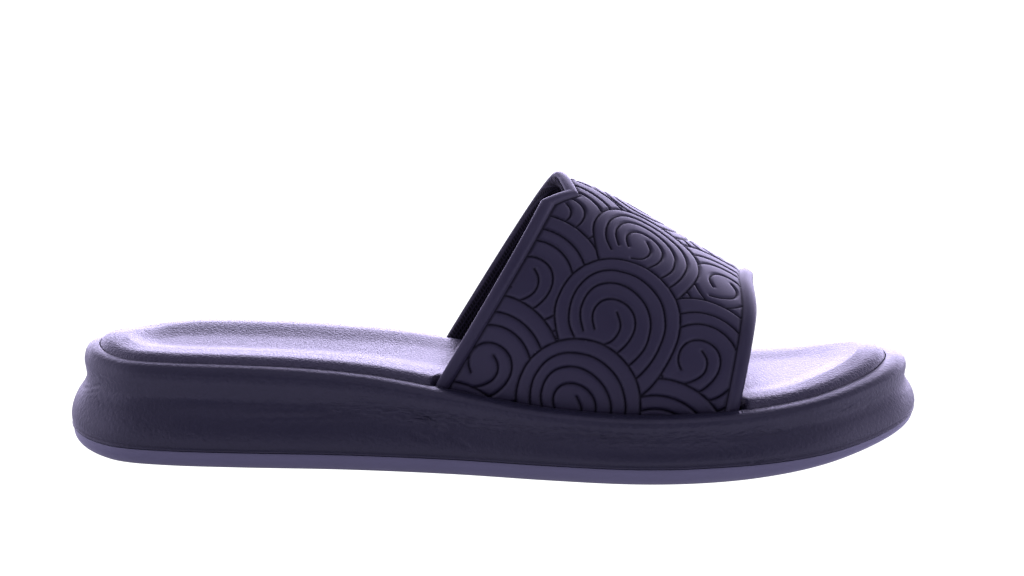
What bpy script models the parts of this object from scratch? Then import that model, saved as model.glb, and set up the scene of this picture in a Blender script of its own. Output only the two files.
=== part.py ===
"""Sport slide sandal for the right foot: outsole, midsole, footbed and a one-piece moulded strap.

Metres. +Z is up, +X points to the toe and +Y to the big-toe side. The origin lies on the floor
under the heel seat. Run with: blender --background --python part.py
"""

import math

import bmesh
import bpy
from mathutils import Vector

# Sole, in plan
SOLE_LENGTH = 0.285
BALL_WIDTH = 0.107
HEEL_WIDTH = 0.077
HEEL_SEAT = 0.040
FOREFOOT_SEAT = 0.180

# Sole, in height: the rim's crest over the sole's own bottom, and how far toe and heel curl up
HEEL_THICKNESS = 0.0340
BALL_THICKNESS = 0.0226
TOE_THICKNESS = 0.0222
TOE_SPRING = 0.0110
HEEL_SPRING = 0.0016
OUTSOLE_THICKNESS = 0.0065
OUTSOLE_TOE_THICKNESS = 0.0045
OUTSOLE_ROUNDING = 0.0065
OUTSOLE_ROUND_SHARE = 0.80
SEAM_INSET = 0.0007

# Side of the midsole: how far it draws in from its widest line, and the rolled rim at its top
HEEL_TAPER = 0.0052
FORE_TAPER = 0.0034
RIM_WIDTH = 0.0100
RIM_ROLL = 0.0042

# Pocket in the midsole, and the footbed that stands in it
POCKET_DEPTH = 0.0085
HEEL_PAD_RISE = 0.0048
TOE_PAD_RISE = 0.0024
PAD_SHOULDER = 0.0050
HEEL_CUP_DEPTH = 0.0026
FORE_DISH_DEPTH = 0.0012
DISH_SLOPE_WIDTH = 0.0150

# Strap
STRAP_WALL = 0.0030
STRAP_RIM_RAISE = 0.0010
BACK_RIM_WIDTH = 0.0070
FRONT_RIM_WIDTH = 0.0056
RIM_EDGE_ROUND = 0.0009
RIM_GROOVE = 0.0010
BACK_CROWN_HEIGHT = 0.0920
FRONT_CROWN_HEIGHT = 0.0596
ARCH_POWER = 2.4
BACK_TOP_TILT = 0.270
FRONT_TOP_TILT = 0.100
NOTCH_DEPTH = 0.0050
NOTCH_HALF_WIDTH = 0.0190

# Strap's cut edges, seen from the side: where they leave the rim, counted from the heel, and how they lean
BACK_EDGE_DISTANCE = 0.1264
BACK_EDGE_LEAN = 0.575
FRONT_EDGE_DISTANCE = 0.2258
FRONT_EDGE_LEAN = 0.200
FRONT_CROWN_RECESS = 0.0012
FRONT_RECESS_HALF_WIDTH = 0.0240
BACK_EDGE_SKEW = 0.0034
FRONT_EDGE_SKEW = 0.0020
SKEW_BLEND = 0.35

# Tread
GROOVE_DEPTH = 0.0014
GROOVE_WIDTH = 0.0032
GROOVE_PITCH = 0.0125
GROOVE_WAVE = 0.0030
TREAD_MARGIN = 0.0120
HEEL_GROOVES = (-2, -1, 0, 1, 2)
FOREFOOT_GROOVES = (-3, -2, -1, 0, 1, 2, 3, 4, 5)

CLEARANCE = 0.0003
STRAP_FOOT_LIFT = 0.0005
SLOT_BACK_ROOM = 0.0010
SLOT_FRONT_ROOM = 0.0045
SLOT_RAMP = 0.0030

STATIONS = 44
ARCH_CELLS = 23
PANEL_CELLS = 9
GROOVE_CELLS = 10

# Outline at the sole's widest line, heel to toe. Columns: along, as a share of the length, and
# across, as a share of the local half width, which runs from HEEL_WIDTH to BALL_WIDTH.
LITTLE_TOE_SIDE = (
    (0.0174, -0.480),
    (0.065, -0.831),
    (0.130, -0.965),
    (0.220, -1.005),
    (0.340, -0.970),
    (0.460, -0.918),
    (0.570, -0.940),
    (0.660, -0.978),
    (0.750, -0.968),
    (0.830, -0.897),
    (0.900, -0.745),
    (0.955, -0.485),
    (0.988, -0.210),
)
BIG_TOE_SIDE = (
    (0.0174, 0.455),
    (0.065, 0.792),
    (0.130, 0.922),
    (0.220, 0.948),
    (0.340, 0.903),
    (0.460, 0.869),
    (0.570, 0.934),
    (0.660, 1.010),
    (0.750, 1.028),
    (0.830, 0.990),
    (0.900, 0.900),
    (0.955, 0.700),
    (0.988, 0.438),
)
HEEL_TIP = (0.0, 0.0)
TOE_TIP = (1.0, 0.112)

# Thickness of the sole. Columns: along, and share of the way from HEEL_THICKNESS to BALL_THICKNESS.
THICKNESS_DROP = (
    (0.00, 0.00),
    (0.24, 0.02),
    (0.36, 0.20),
    (0.45, 0.52),
    (0.55, 0.87),
    (0.65, 1.00),
    (0.80, 1.00),
    (1.00, 1.00),
)

# Side of the midsole, seam to crest. Columns: share of the height, and share of the taper drawn in.
SIDE_PROFILE = (
    (0.06, 0.05),
    (0.14, 0.00),
    (0.27, 0.14),
    (0.40, 0.45),
    (0.51, 0.84),
    (0.60, 1.04),
    (0.70, 1.00),
    (0.81, 0.92),
    (0.90, 1.00),
)

# Rolled rim above the side. Columns: share of RIM_ROLL still to go inwards, and share of the height.
RIM_PROFILE = (
    (0.22, 0.955),
    (0.55, 0.988),
    (1.00, 1.000),
)

# Footbed, from its edge inwards. Columns: share of PAD_SHOULDER, and share of the pad's rise.
PAD_EDGE_PROFILE = (
    (0.10, 0.00),
    (0.42, 0.52),
    (0.74, 0.86),
    (1.15, 1.00),
)

# Dish of the footbed inside its shoulder. Columns: share of DISH_SLOPE_WIDTH, share of the dish's depth.
PAD_DISH_PROFILE = (
    (0.53, 0.22),
    (0.77, 0.60),
    (1.00, 0.90),
)

# Height of the strap's crown. Columns: share of the way from back to front edge, share of the drop.
CROWN_DROP = (
    (-0.60, -0.38),
    (0.00, 0.00),
    (0.20, 0.13),
    (0.40, 0.32),
    (0.70, 0.66),
    (1.00, 1.00),
    (1.30, 1.33),
)


def smooth_step(value):
    value = min(1.0, max(0.0, value))
    return value * value * (3 - 2 * value)


def cubic(p0, p1, p2, p3, t):
    """Catmull-Rom curve between p1 and p2."""
    return 0.5 * (
        2 * p1
        + (p2 - p0) * t
        + (2 * p0 - 5 * p1 + 4 * p2 - p3) * t * t
        + (3 * p1 - p0 - 3 * p2 + p3) * t**3
    )


def read_table(table, at):
    """Value of a two-column table at one place, by a cubic with the slopes of its neighbours."""
    places = [row[0] for row in table]
    values = [row[1] for row in table]
    at = min(places[-1], max(places[0], at))
    slopes = []
    for i in range(len(table)):
        low, high = max(0, i - 1), min(len(table) - 1, i + 1)
        slopes.append((values[high] - values[low]) / (places[high] - places[low]))
    i = max(k for k in range(len(table) - 1) if places[k] <= at)
    span = places[i + 1] - places[i]
    t = (at - places[i]) / span
    return (
        values[i] * (1 + 2 * t) * (1 - t) ** 2
        + slopes[i] * span * t * (1 - t) ** 2
        + values[i + 1] * t * t * (3 - 2 * t)
        + slopes[i + 1] * span * t * t * (t - 1)
    )


def half_width(along):
    """Half width that the outline's shares refer to."""
    blend = smooth_step((along - 0.25) / 0.40)
    return 0.5 * (HEEL_WIDTH + (BALL_WIDTH - HEEL_WIDTH) * blend)


def outline_loop():
    """Control points of the closed outline: heel tip, little-toe side, toe tip, big-toe side."""
    rows = [HEEL_TIP, *LITTLE_TOE_SIDE, TOE_TIP, *reversed(BIG_TOE_SIDE)]
    return [Vector((a * SOLE_LENGTH, s * half_width(a))) for a, s in rows]


def outline_at(loop, turn):
    """Point of the closed outline, where turn counts control points."""
    i = math.floor(turn)
    picked = [loop[(i + k) % len(loop)] for k in (-1, 0, 1, 2)]
    return cubic(*picked, turn - i)


LOOP = outline_loop()
TOE_TURN = len(LITTLE_TOE_SIDE) + 1
BISECTIONS = 40


def edge_of_sole(length_along, side):
    """Outline point and outward normal at this distance from the heel, on side -1 or +1."""
    low, high = (0.0, float(TOE_TURN)) if side < 0 else (float(len(LOOP)), float(TOE_TURN))
    target = min(SOLE_LENGTH, max(0.0, length_along))
    for _ in range(BISECTIONS):
        middle = (low + high) / 2
        if outline_at(LOOP, middle).x < target:
            low = middle
        else:
            high = middle
    turn = (low + high) / 2
    step = 0.01
    run = outline_at(LOOP, turn + step) - outline_at(LOOP, turn - step)
    normal = Vector((run.y, -run.x)).normalized()
    if target <= 0.0:
        normal = Vector((-1.0, 0.0))
    if target >= SOLE_LENGTH:
        normal = Vector((1.0, 0.0))
    return outline_at(LOOP, turn), normal


def station_list(extra=()):
    """Distances from the heel, close together at heel and toe, with some extra ones."""
    even = [0.5 * SOLE_LENGTH * (1 - math.cos(math.pi * i / STATIONS)) for i in range(STATIONS + 1)]
    close = 0.0015
    kept = [s for s in even if all(abs(s - e) > close for e in extra)]
    return sorted([*kept, *extra])


def bottom_height(length_along):
    """Underside of the sole over the floor: flat, with the toe spring and a little heel lift."""
    along = length_along / SOLE_LENGTH
    toe = max(0.0, (along - 0.66) / 0.34)
    heel = max(0.0, (0.07 - along) / 0.07)
    return TOE_SPRING * toe**2.3 + HEEL_SPRING * heel**2


def sole_thickness(length_along):
    along = length_along / SOLE_LENGTH
    fore = smooth_step((along - 0.80) / 0.20)
    ball = BALL_THICKNESS + (TOE_THICKNESS - BALL_THICKNESS) * fore
    return HEEL_THICKNESS + (ball - HEEL_THICKNESS) * read_table(THICKNESS_DROP, along)


def crest_height(length_along):
    return bottom_height(length_along) + sole_thickness(length_along)


def outsole_thickness(length_along):
    fore = smooth_step((length_along / SOLE_LENGTH - 0.75) / 0.25)
    return OUTSOLE_THICKNESS + (OUTSOLE_TOE_THICKNESS - OUTSOLE_THICKNESS) * fore


def seam_height(length_along):
    return bottom_height(length_along) + outsole_thickness(length_along)


def pocket_floor(length_along):
    return crest_height(length_along) - POCKET_DEPTH


def taper(length_along):
    fore = smooth_step((length_along / SOLE_LENGTH - 0.15) / 0.35)
    return HEEL_TAPER + (FORE_TAPER - HEEL_TAPER) * fore


def pad_rise(length_along):
    fore = smooth_step((length_along / SOLE_LENGTH - 0.30) / 0.60)
    return HEEL_PAD_RISE + (TOE_PAD_RISE - HEEL_PAD_RISE) * fore


def dish_depth(length_along):
    fore = smooth_step((length_along / SOLE_LENGTH - 0.20) / 0.30)
    return HEEL_CUP_DEPTH + (FORE_DISH_DEPTH - HEEL_CUP_DEPTH) * fore


def ring(stations, inset_of, height_of):
    """Closed ring of points: little-toe side heel to toe, then big-toe side back, inset from the outline."""
    points = []
    last = len(stations) - 1
    for side, picks in ((-1, range(last + 1)), (1, range(last - 1, 0, -1))):
        for i in picks:
            edge, normal = edge_of_sole(stations[i], side)
            spot = edge - normal * inset_of(stations[i])
            points.append(Vector((spot.x - HEEL_SEAT, spot.y, height_of(stations[i]))))
    return points


def cap_faces(bm, verts, upwards):
    """Fills a ring straight across, rung by rung from heel to toe."""
    last = len(verts) // 2
    for i in range(last):
        rung = [verts[i], verts[i + 1], verts[-(i + 1)], verts[-i] if i else verts[0]]
        unique = list(dict.fromkeys(rung))
        bm.faces.new(unique if upwards else list(reversed(unique)))


def object_of(name, bm, material, sharp_deg=40):
    bmesh.ops.recalc_face_normals(bm, faces=bm.faces)
    mesh = bpy.data.meshes.new(name)
    bm.to_mesh(mesh)
    bm.free()
    mesh.shade_smooth()
    mesh.set_sharp_from_angle(angle=math.radians(sharp_deg))
    mesh.materials.append(material)
    obj = bpy.data.objects.new(name, mesh)
    bpy.context.scene.collection.objects.link(obj)
    return obj


def ringed_solid(name, rings, material):
    """Closed solid through rings of equal count, with its first and last ring filled across."""
    bm = bmesh.new()
    made = [[bm.verts.new(p) for p in points] for points in rings]
    for lower, upper in zip(made, made[1:]):
        count = len(lower)
        for i in range(count):
            k = (i + 1) % count
            bm.faces.new((lower[i], lower[k], upper[k], upper[i]))
    cap_faces(bm, made[0], upwards=False)
    cap_faces(bm, made[-1], upwards=True)
    return object_of(name, bm, material)


def plain_material(name, colour, roughness):
    material = bpy.data.materials.new(name)
    material.use_nodes = True
    shader = material.node_tree.nodes["Principled BSDF"]
    shader.inputs["Base Color"].default_value = (*colour, 1.0)
    shader.inputs["Roughness"].default_value = roughness
    shader.inputs["Metallic"].default_value = 0.0
    material.diffuse_color = (*colour, 1.0)
    return material


def build_outsole(material):
    """Thin rubber bottom with a rounded lower edge, from the floor to the seam."""
    stations = station_list()
    quarter = (0.0, 0.25, 0.5, 0.75, 1.0)
    rings = []
    for share in quarter:
        angle = share * math.pi / 2
        inset = SEAM_INSET + OUTSOLE_ROUNDING * (1 - math.sin(angle))
        lift = OUTSOLE_ROUND_SHARE * (1 - math.cos(angle))
        rings.append(
            ring(
                stations,
                lambda s, i=inset: i,
                lambda s, up=lift: bottom_height(s) + (outsole_thickness(s) - CLEARANCE) * up,
            )
        )
    rings.append(ring(stations, lambda s: SEAM_INSET, lambda s: seam_height(s) - CLEARANCE))
    return ringed_solid("outsole", rings, material)


def groove_cutter(middle, half_span):
    """Wavy bar across the sole, standing through its bottom."""
    bm = bmesh.new()
    low = -GROOVE_DEPTH
    high = bottom_height(middle) + GROOVE_DEPTH
    rows = []
    for i in range(GROOVE_CELLS + 1):
        y = -half_span + 2 * half_span * i / GROOVE_CELLS
        x = middle - HEEL_SEAT - GROOVE_WAVE * (1 - math.cos(math.pi * y / half_span))
        rows.append(
            [
                bm.verts.new((x + dx, y, z))
                for dx, z in (
                    (-GROOVE_WIDTH / 2, low),
                    (GROOVE_WIDTH / 2, low),
                    (GROOVE_WIDTH / 2, high),
                    (-GROOVE_WIDTH / 2, high),
                )
            ]
        )
    for near, far in zip(rows, rows[1:]):
        for i in range(4):
            k = (i + 1) % 4
            bm.faces.new((near[i], near[k], far[k], far[i]))
    bm.faces.new(rows[0])
    bm.faces.new(list(reversed(rows[-1])))
    bmesh.ops.recalc_face_normals(bm, faces=bm.faces)
    mesh = bpy.data.meshes.new("tread_groove")
    bm.to_mesh(mesh)
    bm.free()
    return mesh


def cut_tread(outsole):
    """Cuts the wavy grooves of heel and forefoot. The waist and the two seats stay plain."""
    for seat, numbers in ((HEEL_SEAT, HEEL_GROOVES), (FOREFOOT_SEAT, FOREFOOT_GROOVES)):
        for number in numbers:
            middle = seat + (number + 0.5) * GROOVE_PITCH
            near = abs(edge_of_sole(middle, -1)[0].y)
            far = abs(edge_of_sole(middle, 1)[0].y)
            half_span = min(near, far) - TREAD_MARGIN
            cutter = bpy.data.objects.new("tread_groove", groove_cutter(middle, half_span))
            bpy.context.scene.collection.objects.link(cutter)
            cutter.hide_render = True
            cutter.display_type = "WIRE"
            cut = outsole.modifiers.new("tread", "BOOLEAN")
            cut.operation = "DIFFERENCE"
            cut.object = cutter


def build_midsole(material):
    """Foam side wall with its rolled rim, and the pocket that the footbed stands in."""
    stations = station_list()

    def level(share):
        return lambda s: seam_height(s) + share * (crest_height(s) - seam_height(s))

    rings = [ring(stations, lambda s: SEAM_INSET, level(0.0))]
    for share, drawn in SIDE_PROFILE:
        rings.append(ring(stations, lambda s, d=drawn: taper(s) * d, level(share)))
    for roll, share in RIM_PROFILE:
        rings.append(ring(stations, lambda s, r=roll: taper(s) + RIM_ROLL * r, level(share)))
    rings.append(ring(stations, lambda s: RIM_WIDTH, lambda s: crest_height(s) - RIM_EDGE_ROUND))
    rings.append(ring(stations, lambda s: RIM_WIDTH, pocket_floor))
    return ringed_solid("midsole", rings, material)


def leg_inset():
    """Inset of the strap panel's outer face, where it stands against the pocket's wall."""
    return RIM_WIDTH + CLEARANCE + STRAP_RIM_RAISE


def back_edge(height):
    """Strap's back edge in the side view, at this height."""
    start_height = crest_height(BACK_EDGE_DISTANCE)
    return BACK_EDGE_DISTANCE + BACK_EDGE_LEAN * (height - start_height)


def front_edge(height):
    """Strap's front edge in the side view, at this height."""
    start_height = crest_height(FRONT_EDGE_DISTANCE)
    return FRONT_EDGE_DISTANCE + FRONT_EDGE_LEAN * (height - start_height)


def slot_inset(length_along):
    """How much further in the footbed's edge stands, to leave room for the strap's legs."""
    start = back_edge(pocket_floor(BACK_EDGE_DISTANCE)) - SLOT_BACK_ROOM - BACK_EDGE_SKEW
    end = FRONT_EDGE_DISTANCE + SLOT_FRONT_ROOM
    opens = smooth_step((length_along - start + SLOT_RAMP) / SLOT_RAMP)
    closes = smooth_step((end + SLOT_RAMP - length_along) / SLOT_RAMP)
    return (STRAP_RIM_RAISE + STRAP_WALL + CLEARANCE) * opens * closes


def slot_stations():
    start = back_edge(pocket_floor(BACK_EDGE_DISTANCE)) - SLOT_BACK_ROOM - BACK_EDGE_SKEW
    end = FRONT_EDGE_DISTANCE + SLOT_FRONT_ROOM
    ramp = (0.0, 0.33, 0.67, 1.0)
    return [start - SLOT_RAMP * (1 - r) for r in ramp] + [end + SLOT_RAMP * r for r in ramp]


def build_footbed(material):
    """Cushioned insole: upright edge in the pocket, sloping shoulder, and a dished top."""
    stations = station_list(slot_stations())

    def edge(s):
        return RIM_WIDTH + CLEARANCE + slot_inset(s)

    def shoulder(s, inwards):
        squeezed = 1 - slot_inset(s) / (PAD_SHOULDER * PAD_EDGE_PROFILE[-1][0] * 1.1)
        return edge(s) + PAD_SHOULDER * inwards * squeezed

    rings = [
        ring(stations, edge, lambda s: pocket_floor(s) + CLEARANCE),
        ring(stations, edge, lambda s: crest_height(s) - 2 * RIM_EDGE_ROUND),
    ]
    for inwards, rise in PAD_EDGE_PROFILE:
        rings.append(
            ring(
                stations,
                lambda s, i=inwards: shoulder(s, i),
                lambda s, r=rise: crest_height(s) - RIM_EDGE_ROUND + (RIM_EDGE_ROUND + pad_rise(s)) * r,
            )
        )
    for inwards, depth in PAD_DISH_PROFILE:
        rings.append(
            ring(
                stations,
                lambda s, i=inwards: RIM_WIDTH + CLEARANCE + DISH_SLOPE_WIDTH * i,
                lambda s, d=depth: crest_height(s) + pad_rise(s) - dish_depth(s) * d,
            )
        )
    return ringed_solid("footbed", rings, material)


def crown_height(length_along):
    """Outer height of the strap's ridge over the floor."""
    back = BACK_EDGE_DISTANCE + BACK_EDGE_LEAN * (BACK_CROWN_HEIGHT - crest_height(BACK_EDGE_DISTANCE))
    share = (length_along - back) / (FRONT_EDGE_DISTANCE - back)
    drop = read_table(CROWN_DROP, share)
    return BACK_CROWN_HEIGHT - (BACK_CROWN_HEIGHT - FRONT_CROWN_HEIGHT) * drop


def top_tilt(length_along):
    """Slope across the strap's top, which rises to the big-toe side as the instep does."""
    share = smooth_step((length_along - BACK_EDGE_DISTANCE) / (FRONT_EDGE_DISTANCE - BACK_EDGE_DISTANCE))
    return BACK_TOP_TILT + (FRONT_TOP_TILT - BACK_TOP_TILT) * share


def leg_line(length_along, side):
    """Place across the sole of the strap panel's outer face at its legs, and the station it belongs to."""
    at = length_along
    for _ in range(6):
        edge, normal = edge_of_sole(at, side)
        spot = edge - normal * leg_inset()
        at += length_along - spot.x
    return spot.y, at


def arch_point(length_along, share):
    """Point of the strap panel's outer face in one cross section.

    share runs from -1, the foot of the little-toe leg, over 0, the ridge, to 1.
    """
    side = -1 if share < 0 else 1
    y, station = leg_line(length_along, side)
    middle = (y + leg_line(length_along, -side)[0]) / 2
    reach = abs(y - middle)
    foot = pocket_floor(station) + STRAP_FOOT_LIFT
    knee = crest_height(length_along)
    rise = crown_height(length_along) - knee
    leg = knee - foot
    quarter = arch_quarter(reach, rise)
    total = leg + quarter[-1][0]
    walked = (1 - abs(share)) * total
    if walked <= leg:
        return Vector((length_along - HEEL_SEAT, middle + side * reach, foot + walked))
    y, z = point_on(quarter, walked - leg)
    lift = top_tilt(length_along) * side * y * (z / rise) ** 2
    return Vector((length_along - HEEL_SEAT, middle + side * y, knee + z + lift))


def arch_quarter(reach, rise):
    """Quarter of a rounded-square arch, from its knee to its crown, with the way walked so far."""
    steps = 48
    points = []
    walked = 0.0
    last = None
    for i in range(steps + 1):
        angle = math.pi / 2 * i / steps
        y = reach * math.cos(angle) ** (2 / ARCH_POWER)
        z = rise * math.sin(angle) ** (2 / ARCH_POWER)
        if last is not None:
            walked += math.hypot(y - last[0], z - last[1])
        points.append((walked, y, z))
        last = (y, z)
    return points


def point_on(quarter, walked):
    for (w0, y0, z0), (w1, y1, z1) in zip(quarter, quarter[1:]):
        if walked <= w1:
            t = (walked - w0) / (w1 - w0)
            return y0 + (y1 - y0) * t, z0 + (z1 - z0) * t
    return quarter[-1][1:]


def edge_places(share):
    """Distances from the heel of the strap's back and front edge, at one share of the arch."""
    back, front = BACK_EDGE_DISTANCE, FRONT_EDGE_DISTANCE
    for _ in range(8):
        back_spot = arch_point(back, share)
        front_spot = arch_point(front, share)
        notch = max(0.0, 1 - abs(back_spot.y) / NOTCH_HALF_WIDTH)
        recess = smooth_step(1 - abs(front_spot.y) / FRONT_RECESS_HALF_WIDTH)
        low_down = (BACK_CROWN_HEIGHT - back_spot.z) / (BACK_CROWN_HEIGHT - HEEL_THICKNESS)
        low_down = math.sqrt(min(1.0, max(0.0, low_down)))
        skewed = smooth_step((share + SKEW_BLEND) / (2 * SKEW_BLEND))
        back = back_edge(back_spot.z) + NOTCH_DEPTH * notch - BACK_EDGE_SKEW * skewed * low_down
        front = front_edge(front_spot.z) - FRONT_CROWN_RECESS * recess - FRONT_EDGE_SKEW * skewed
    return back, front


def strap_columns():
    """Lines across the strap. Each has its place between the edges and its height over the panel."""
    step = RIM_GROOVE
    back = [
        (0.0, STRAP_RIM_RAISE - RIM_EDGE_ROUND),
        (RIM_EDGE_ROUND, STRAP_RIM_RAISE),
        (BACK_RIM_WIDTH - step, STRAP_RIM_RAISE),
        (BACK_RIM_WIDTH, 0.0),
    ]
    front = [
        (FRONT_RIM_WIDTH, 0.0),
        (FRONT_RIM_WIDTH - step, STRAP_RIM_RAISE),
        (RIM_EDGE_ROUND, STRAP_RIM_RAISE),
        (0.0, STRAP_RIM_RAISE - RIM_EDGE_ROUND),
    ]
    return back, front


def strap_row(share):
    """Outer and inner points of the strap in one row, back edge to front edge."""
    back_at, front_at = edge_places(share)
    back, front = strap_columns()
    places = [(back_at + d, h) for d, h in back]
    first, last = back_at + BACK_RIM_WIDTH, front_at - FRONT_RIM_WIDTH
    places += [(first + (last - first) * i / PANEL_CELLS, 0.0) for i in range(1, PANEL_CELLS)]
    places += [(front_at - d, h) for d, h in front]
    outer, inner = [], []
    for at, height in places:
        spot = arch_point(at, share)
        normal = arch_normal(at, share)
        outer.append(spot + normal * height)
        inner.append(spot - normal * STRAP_WALL)
    return outer, inner


def arch_normal(length_along, share):
    """Outward normal of the arch, from its neighbours along and across."""
    step_along, step_share = 0.001, 0.01
    low, high = max(-1.0, share - step_share), min(1.0, share + step_share)
    along = arch_point(length_along + step_along, share) - arch_point(length_along - step_along, share)
    across = arch_point(length_along, high) - arch_point(length_along, low)
    return along.cross(across).normalized()


def build_strap(material):
    """One moulded wall over the foot, with a raised rim along both cut edges."""
    shares = [i / ARCH_CELLS for i in range(-ARCH_CELLS, ARCH_CELLS + 1)]
    rows = [strap_row(share) for share in shares]
    bm = bmesh.new()
    outer = [[bm.verts.new(p) for p in row[0]] for row in rows]
    inner = [[bm.verts.new(p) for p in row[1]] for row in rows]
    last_row, last_column = len(rows) - 1, len(rows[0][0]) - 1
    for skin in (outer, inner):
        for r in range(last_row):
            for c in range(last_column):
                bm.faces.new((skin[r][c], skin[r][c + 1], skin[r + 1][c + 1], skin[r + 1][c]))
    for r in range(last_row):
        for c in (0, last_column):
            bm.faces.new((outer[r][c], outer[r + 1][c], inner[r + 1][c], inner[r][c]))
    for c in range(last_column):
        for r in (0, last_row):
            bm.faces.new((outer[r][c], outer[r][c + 1], inner[r][c + 1], inner[r][c]))
    return object_of("strap", bm, material)


def main():
    for obj in list(bpy.data.objects):
        bpy.data.objects.remove(obj)
    outsole = build_outsole(plain_material("outsole_rubber", (0.025, 0.024, 0.036), 0.45))
    cut_tread(outsole)
    build_midsole(plain_material("midsole_foam", (0.020, 0.020, 0.030), 0.50))
    build_footbed(plain_material("footbed_foam", (0.028, 0.026, 0.042), 0.42))
    build_strap(plain_material("strap_rubber", (0.018, 0.017, 0.026), 0.48))


main()
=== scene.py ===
"""Dressed model of a sport slide sandal: outsole, midsole, footbed, carved strap and mesh lining.

Runs as a script. Metres, +X to the toe, +Y to the big-toe side, +Z up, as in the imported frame.
"""

import math

import bmesh
import bpy
import numpy as np
from bpy.props import FloatProperty, FloatVectorProperty, PointerProperty
from mathutils import Matrix, Vector


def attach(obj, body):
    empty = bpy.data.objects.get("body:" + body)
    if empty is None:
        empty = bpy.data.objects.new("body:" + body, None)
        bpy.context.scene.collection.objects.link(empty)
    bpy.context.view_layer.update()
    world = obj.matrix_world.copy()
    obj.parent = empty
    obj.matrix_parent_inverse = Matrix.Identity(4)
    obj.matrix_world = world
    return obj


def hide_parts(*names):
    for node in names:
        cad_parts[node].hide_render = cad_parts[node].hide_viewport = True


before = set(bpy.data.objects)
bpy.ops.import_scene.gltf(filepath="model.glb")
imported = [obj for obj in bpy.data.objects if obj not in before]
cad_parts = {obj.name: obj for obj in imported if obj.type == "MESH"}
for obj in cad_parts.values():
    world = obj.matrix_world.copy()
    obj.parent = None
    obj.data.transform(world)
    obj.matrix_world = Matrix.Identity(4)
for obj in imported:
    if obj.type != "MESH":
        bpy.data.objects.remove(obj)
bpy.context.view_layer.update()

bl_info = {
    "name": "Slide Sandal",
    "version": (1, 0, 0),
    "blender": (4, 5, 0),
    "location": "3D View > Sidebar > Sandal",
    "description": "Builds a slide sandal with a carved strap over its packed frame",
    "category": "Add Mesh",
}

MM = 0.001

# Sizes in metres, as the solids have them unless the next heading says otherwise
SOLE_LENGTH = 0.285
BALL_WIDTH = 0.107
HEEL_WIDTH = 0.077
HEEL_SEAT = 0.040
FOREFOOT_SEAT = 0.180
HEEL_THICKNESS = 0.0340
BALL_THICKNESS = 0.0226
TOE_THICKNESS = 0.0222
TOE_SPRING = 0.0110
HEEL_SPRING = 0.0016
OUTSOLE_THICKNESS = 0.0065
OUTSOLE_TOE_THICKNESS = 0.0045
OUTSOLE_ROUNDING = 0.0065
OUTSOLE_ROUND_SHARE = 0.80
SEAM_INSET = 0.0007
HEEL_TAPER = 0.0052
FORE_TAPER = 0.0034
RIM_WIDTH = 0.0100
RIM_ROLL = 0.0042
POCKET_DEPTH = 0.0085
HEEL_PAD_RISE = 0.0048
TOE_PAD_RISE = 0.0024
PAD_SHOULDER = 0.0050
HEEL_CUP_DEPTH = 0.0026
FORE_DISH_DEPTH = 0.0012
DISH_SLOPE_WIDTH = 0.0150
STRAP_WALL = 0.0030
STRAP_RIM_RAISE = 0.0010
RIM_EDGE_ROUND = 0.0009
BACK_CROWN_HEIGHT = 0.0920
FRONT_CROWN_HEIGHT = 0.0596
ARCH_POWER = 2.4
BACK_TOP_TILT = 0.270
FRONT_TOP_TILT = 0.100
BACK_EDGE_DISTANCE = 0.1264
BACK_EDGE_LEAN = 0.575
FRONT_EDGE_DISTANCE = 0.2258
FRONT_EDGE_LEAN = 0.200
FRONT_CROWN_RECESS = 0.0012
FRONT_RECESS_HALF_WIDTH = 0.0240
BACK_EDGE_SKEW = 0.0034
FRONT_EDGE_SKEW = 0.0020
SKEW_BLEND = 0.35
TREAD_DEPTH = 0.0014
TREAD_WIDTH = 0.0032
TREAD_PITCH = 0.0125
TREAD_WAVE = 0.0030
TREAD_MARGIN = 0.0120
HEEL_GROOVES = (-2, -1, 0, 1, 2)
FOREFOOT_GROOVES = (-3, -2, -1, 0, 1, 2, 3, 4, 5)
CLEARANCE = 0.0003
STRAP_FOOT_LIFT = 0.0005
SLOT_BACK_ROOM = 0.0010
LEG_INSET = RIM_WIDTH + CLEARANCE + STRAP_RIM_RAISE

# Sizes of the dressed model alone: finer, or closer to the photograph, than the solids
BACK_RIM_WIDTH = 0.0046
FRONT_RIM_WIDTH = 0.0044
NOTCH_DEPTH = 0.0068
NOTCH_MIDDLE = -0.0056
NOTCH_NEAR_WIDTH = 0.0085
NOTCH_FAR_WIDTH = 0.0135
SLOT_FRONT_ROOM = 0.0032
SLOT_RAMP = 0.0020
FOOTBED_GAP = 0.00004
LINING_THICKNESS = 0.0005
LINING_FRONT_GAP = 0.0012

# Lining: the share of the strap's arch that it covers, how much longer than its mean length its
# curved cut makes the flat sheet, the way from the strap's ridge down to the strap's end, and the
# distance between the mesh's strands
LINING_SHARE = 0.955
HALF_WAY_ROUND_MM = 108
MESH_PITCH_MM = 1.194

# Footbed: shares of the shoulder's rise that it loses at the heel's tip and on the little-toe
# side, and shares of the solid's dish for its depth and for the width of its slope
HEEL_TIP_DROP = 0.42
HEEL_TIP_REACH = 0.045
TOE_TIP_REACH = 0.025
LOW_SIDE_DROP = 0.46
DISH_DEPTH_SHARE = 0.70
DISH_SLOPE_SHARE = 0.85

# Counts of grid points
SOLE_ROWS = 381
STRAP_ROWS = 441
PANEL_COLUMNS = 163
INNER_CELLS = 12
LINING_ROWS = 121
LINING_COLUMNS = 31

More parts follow.
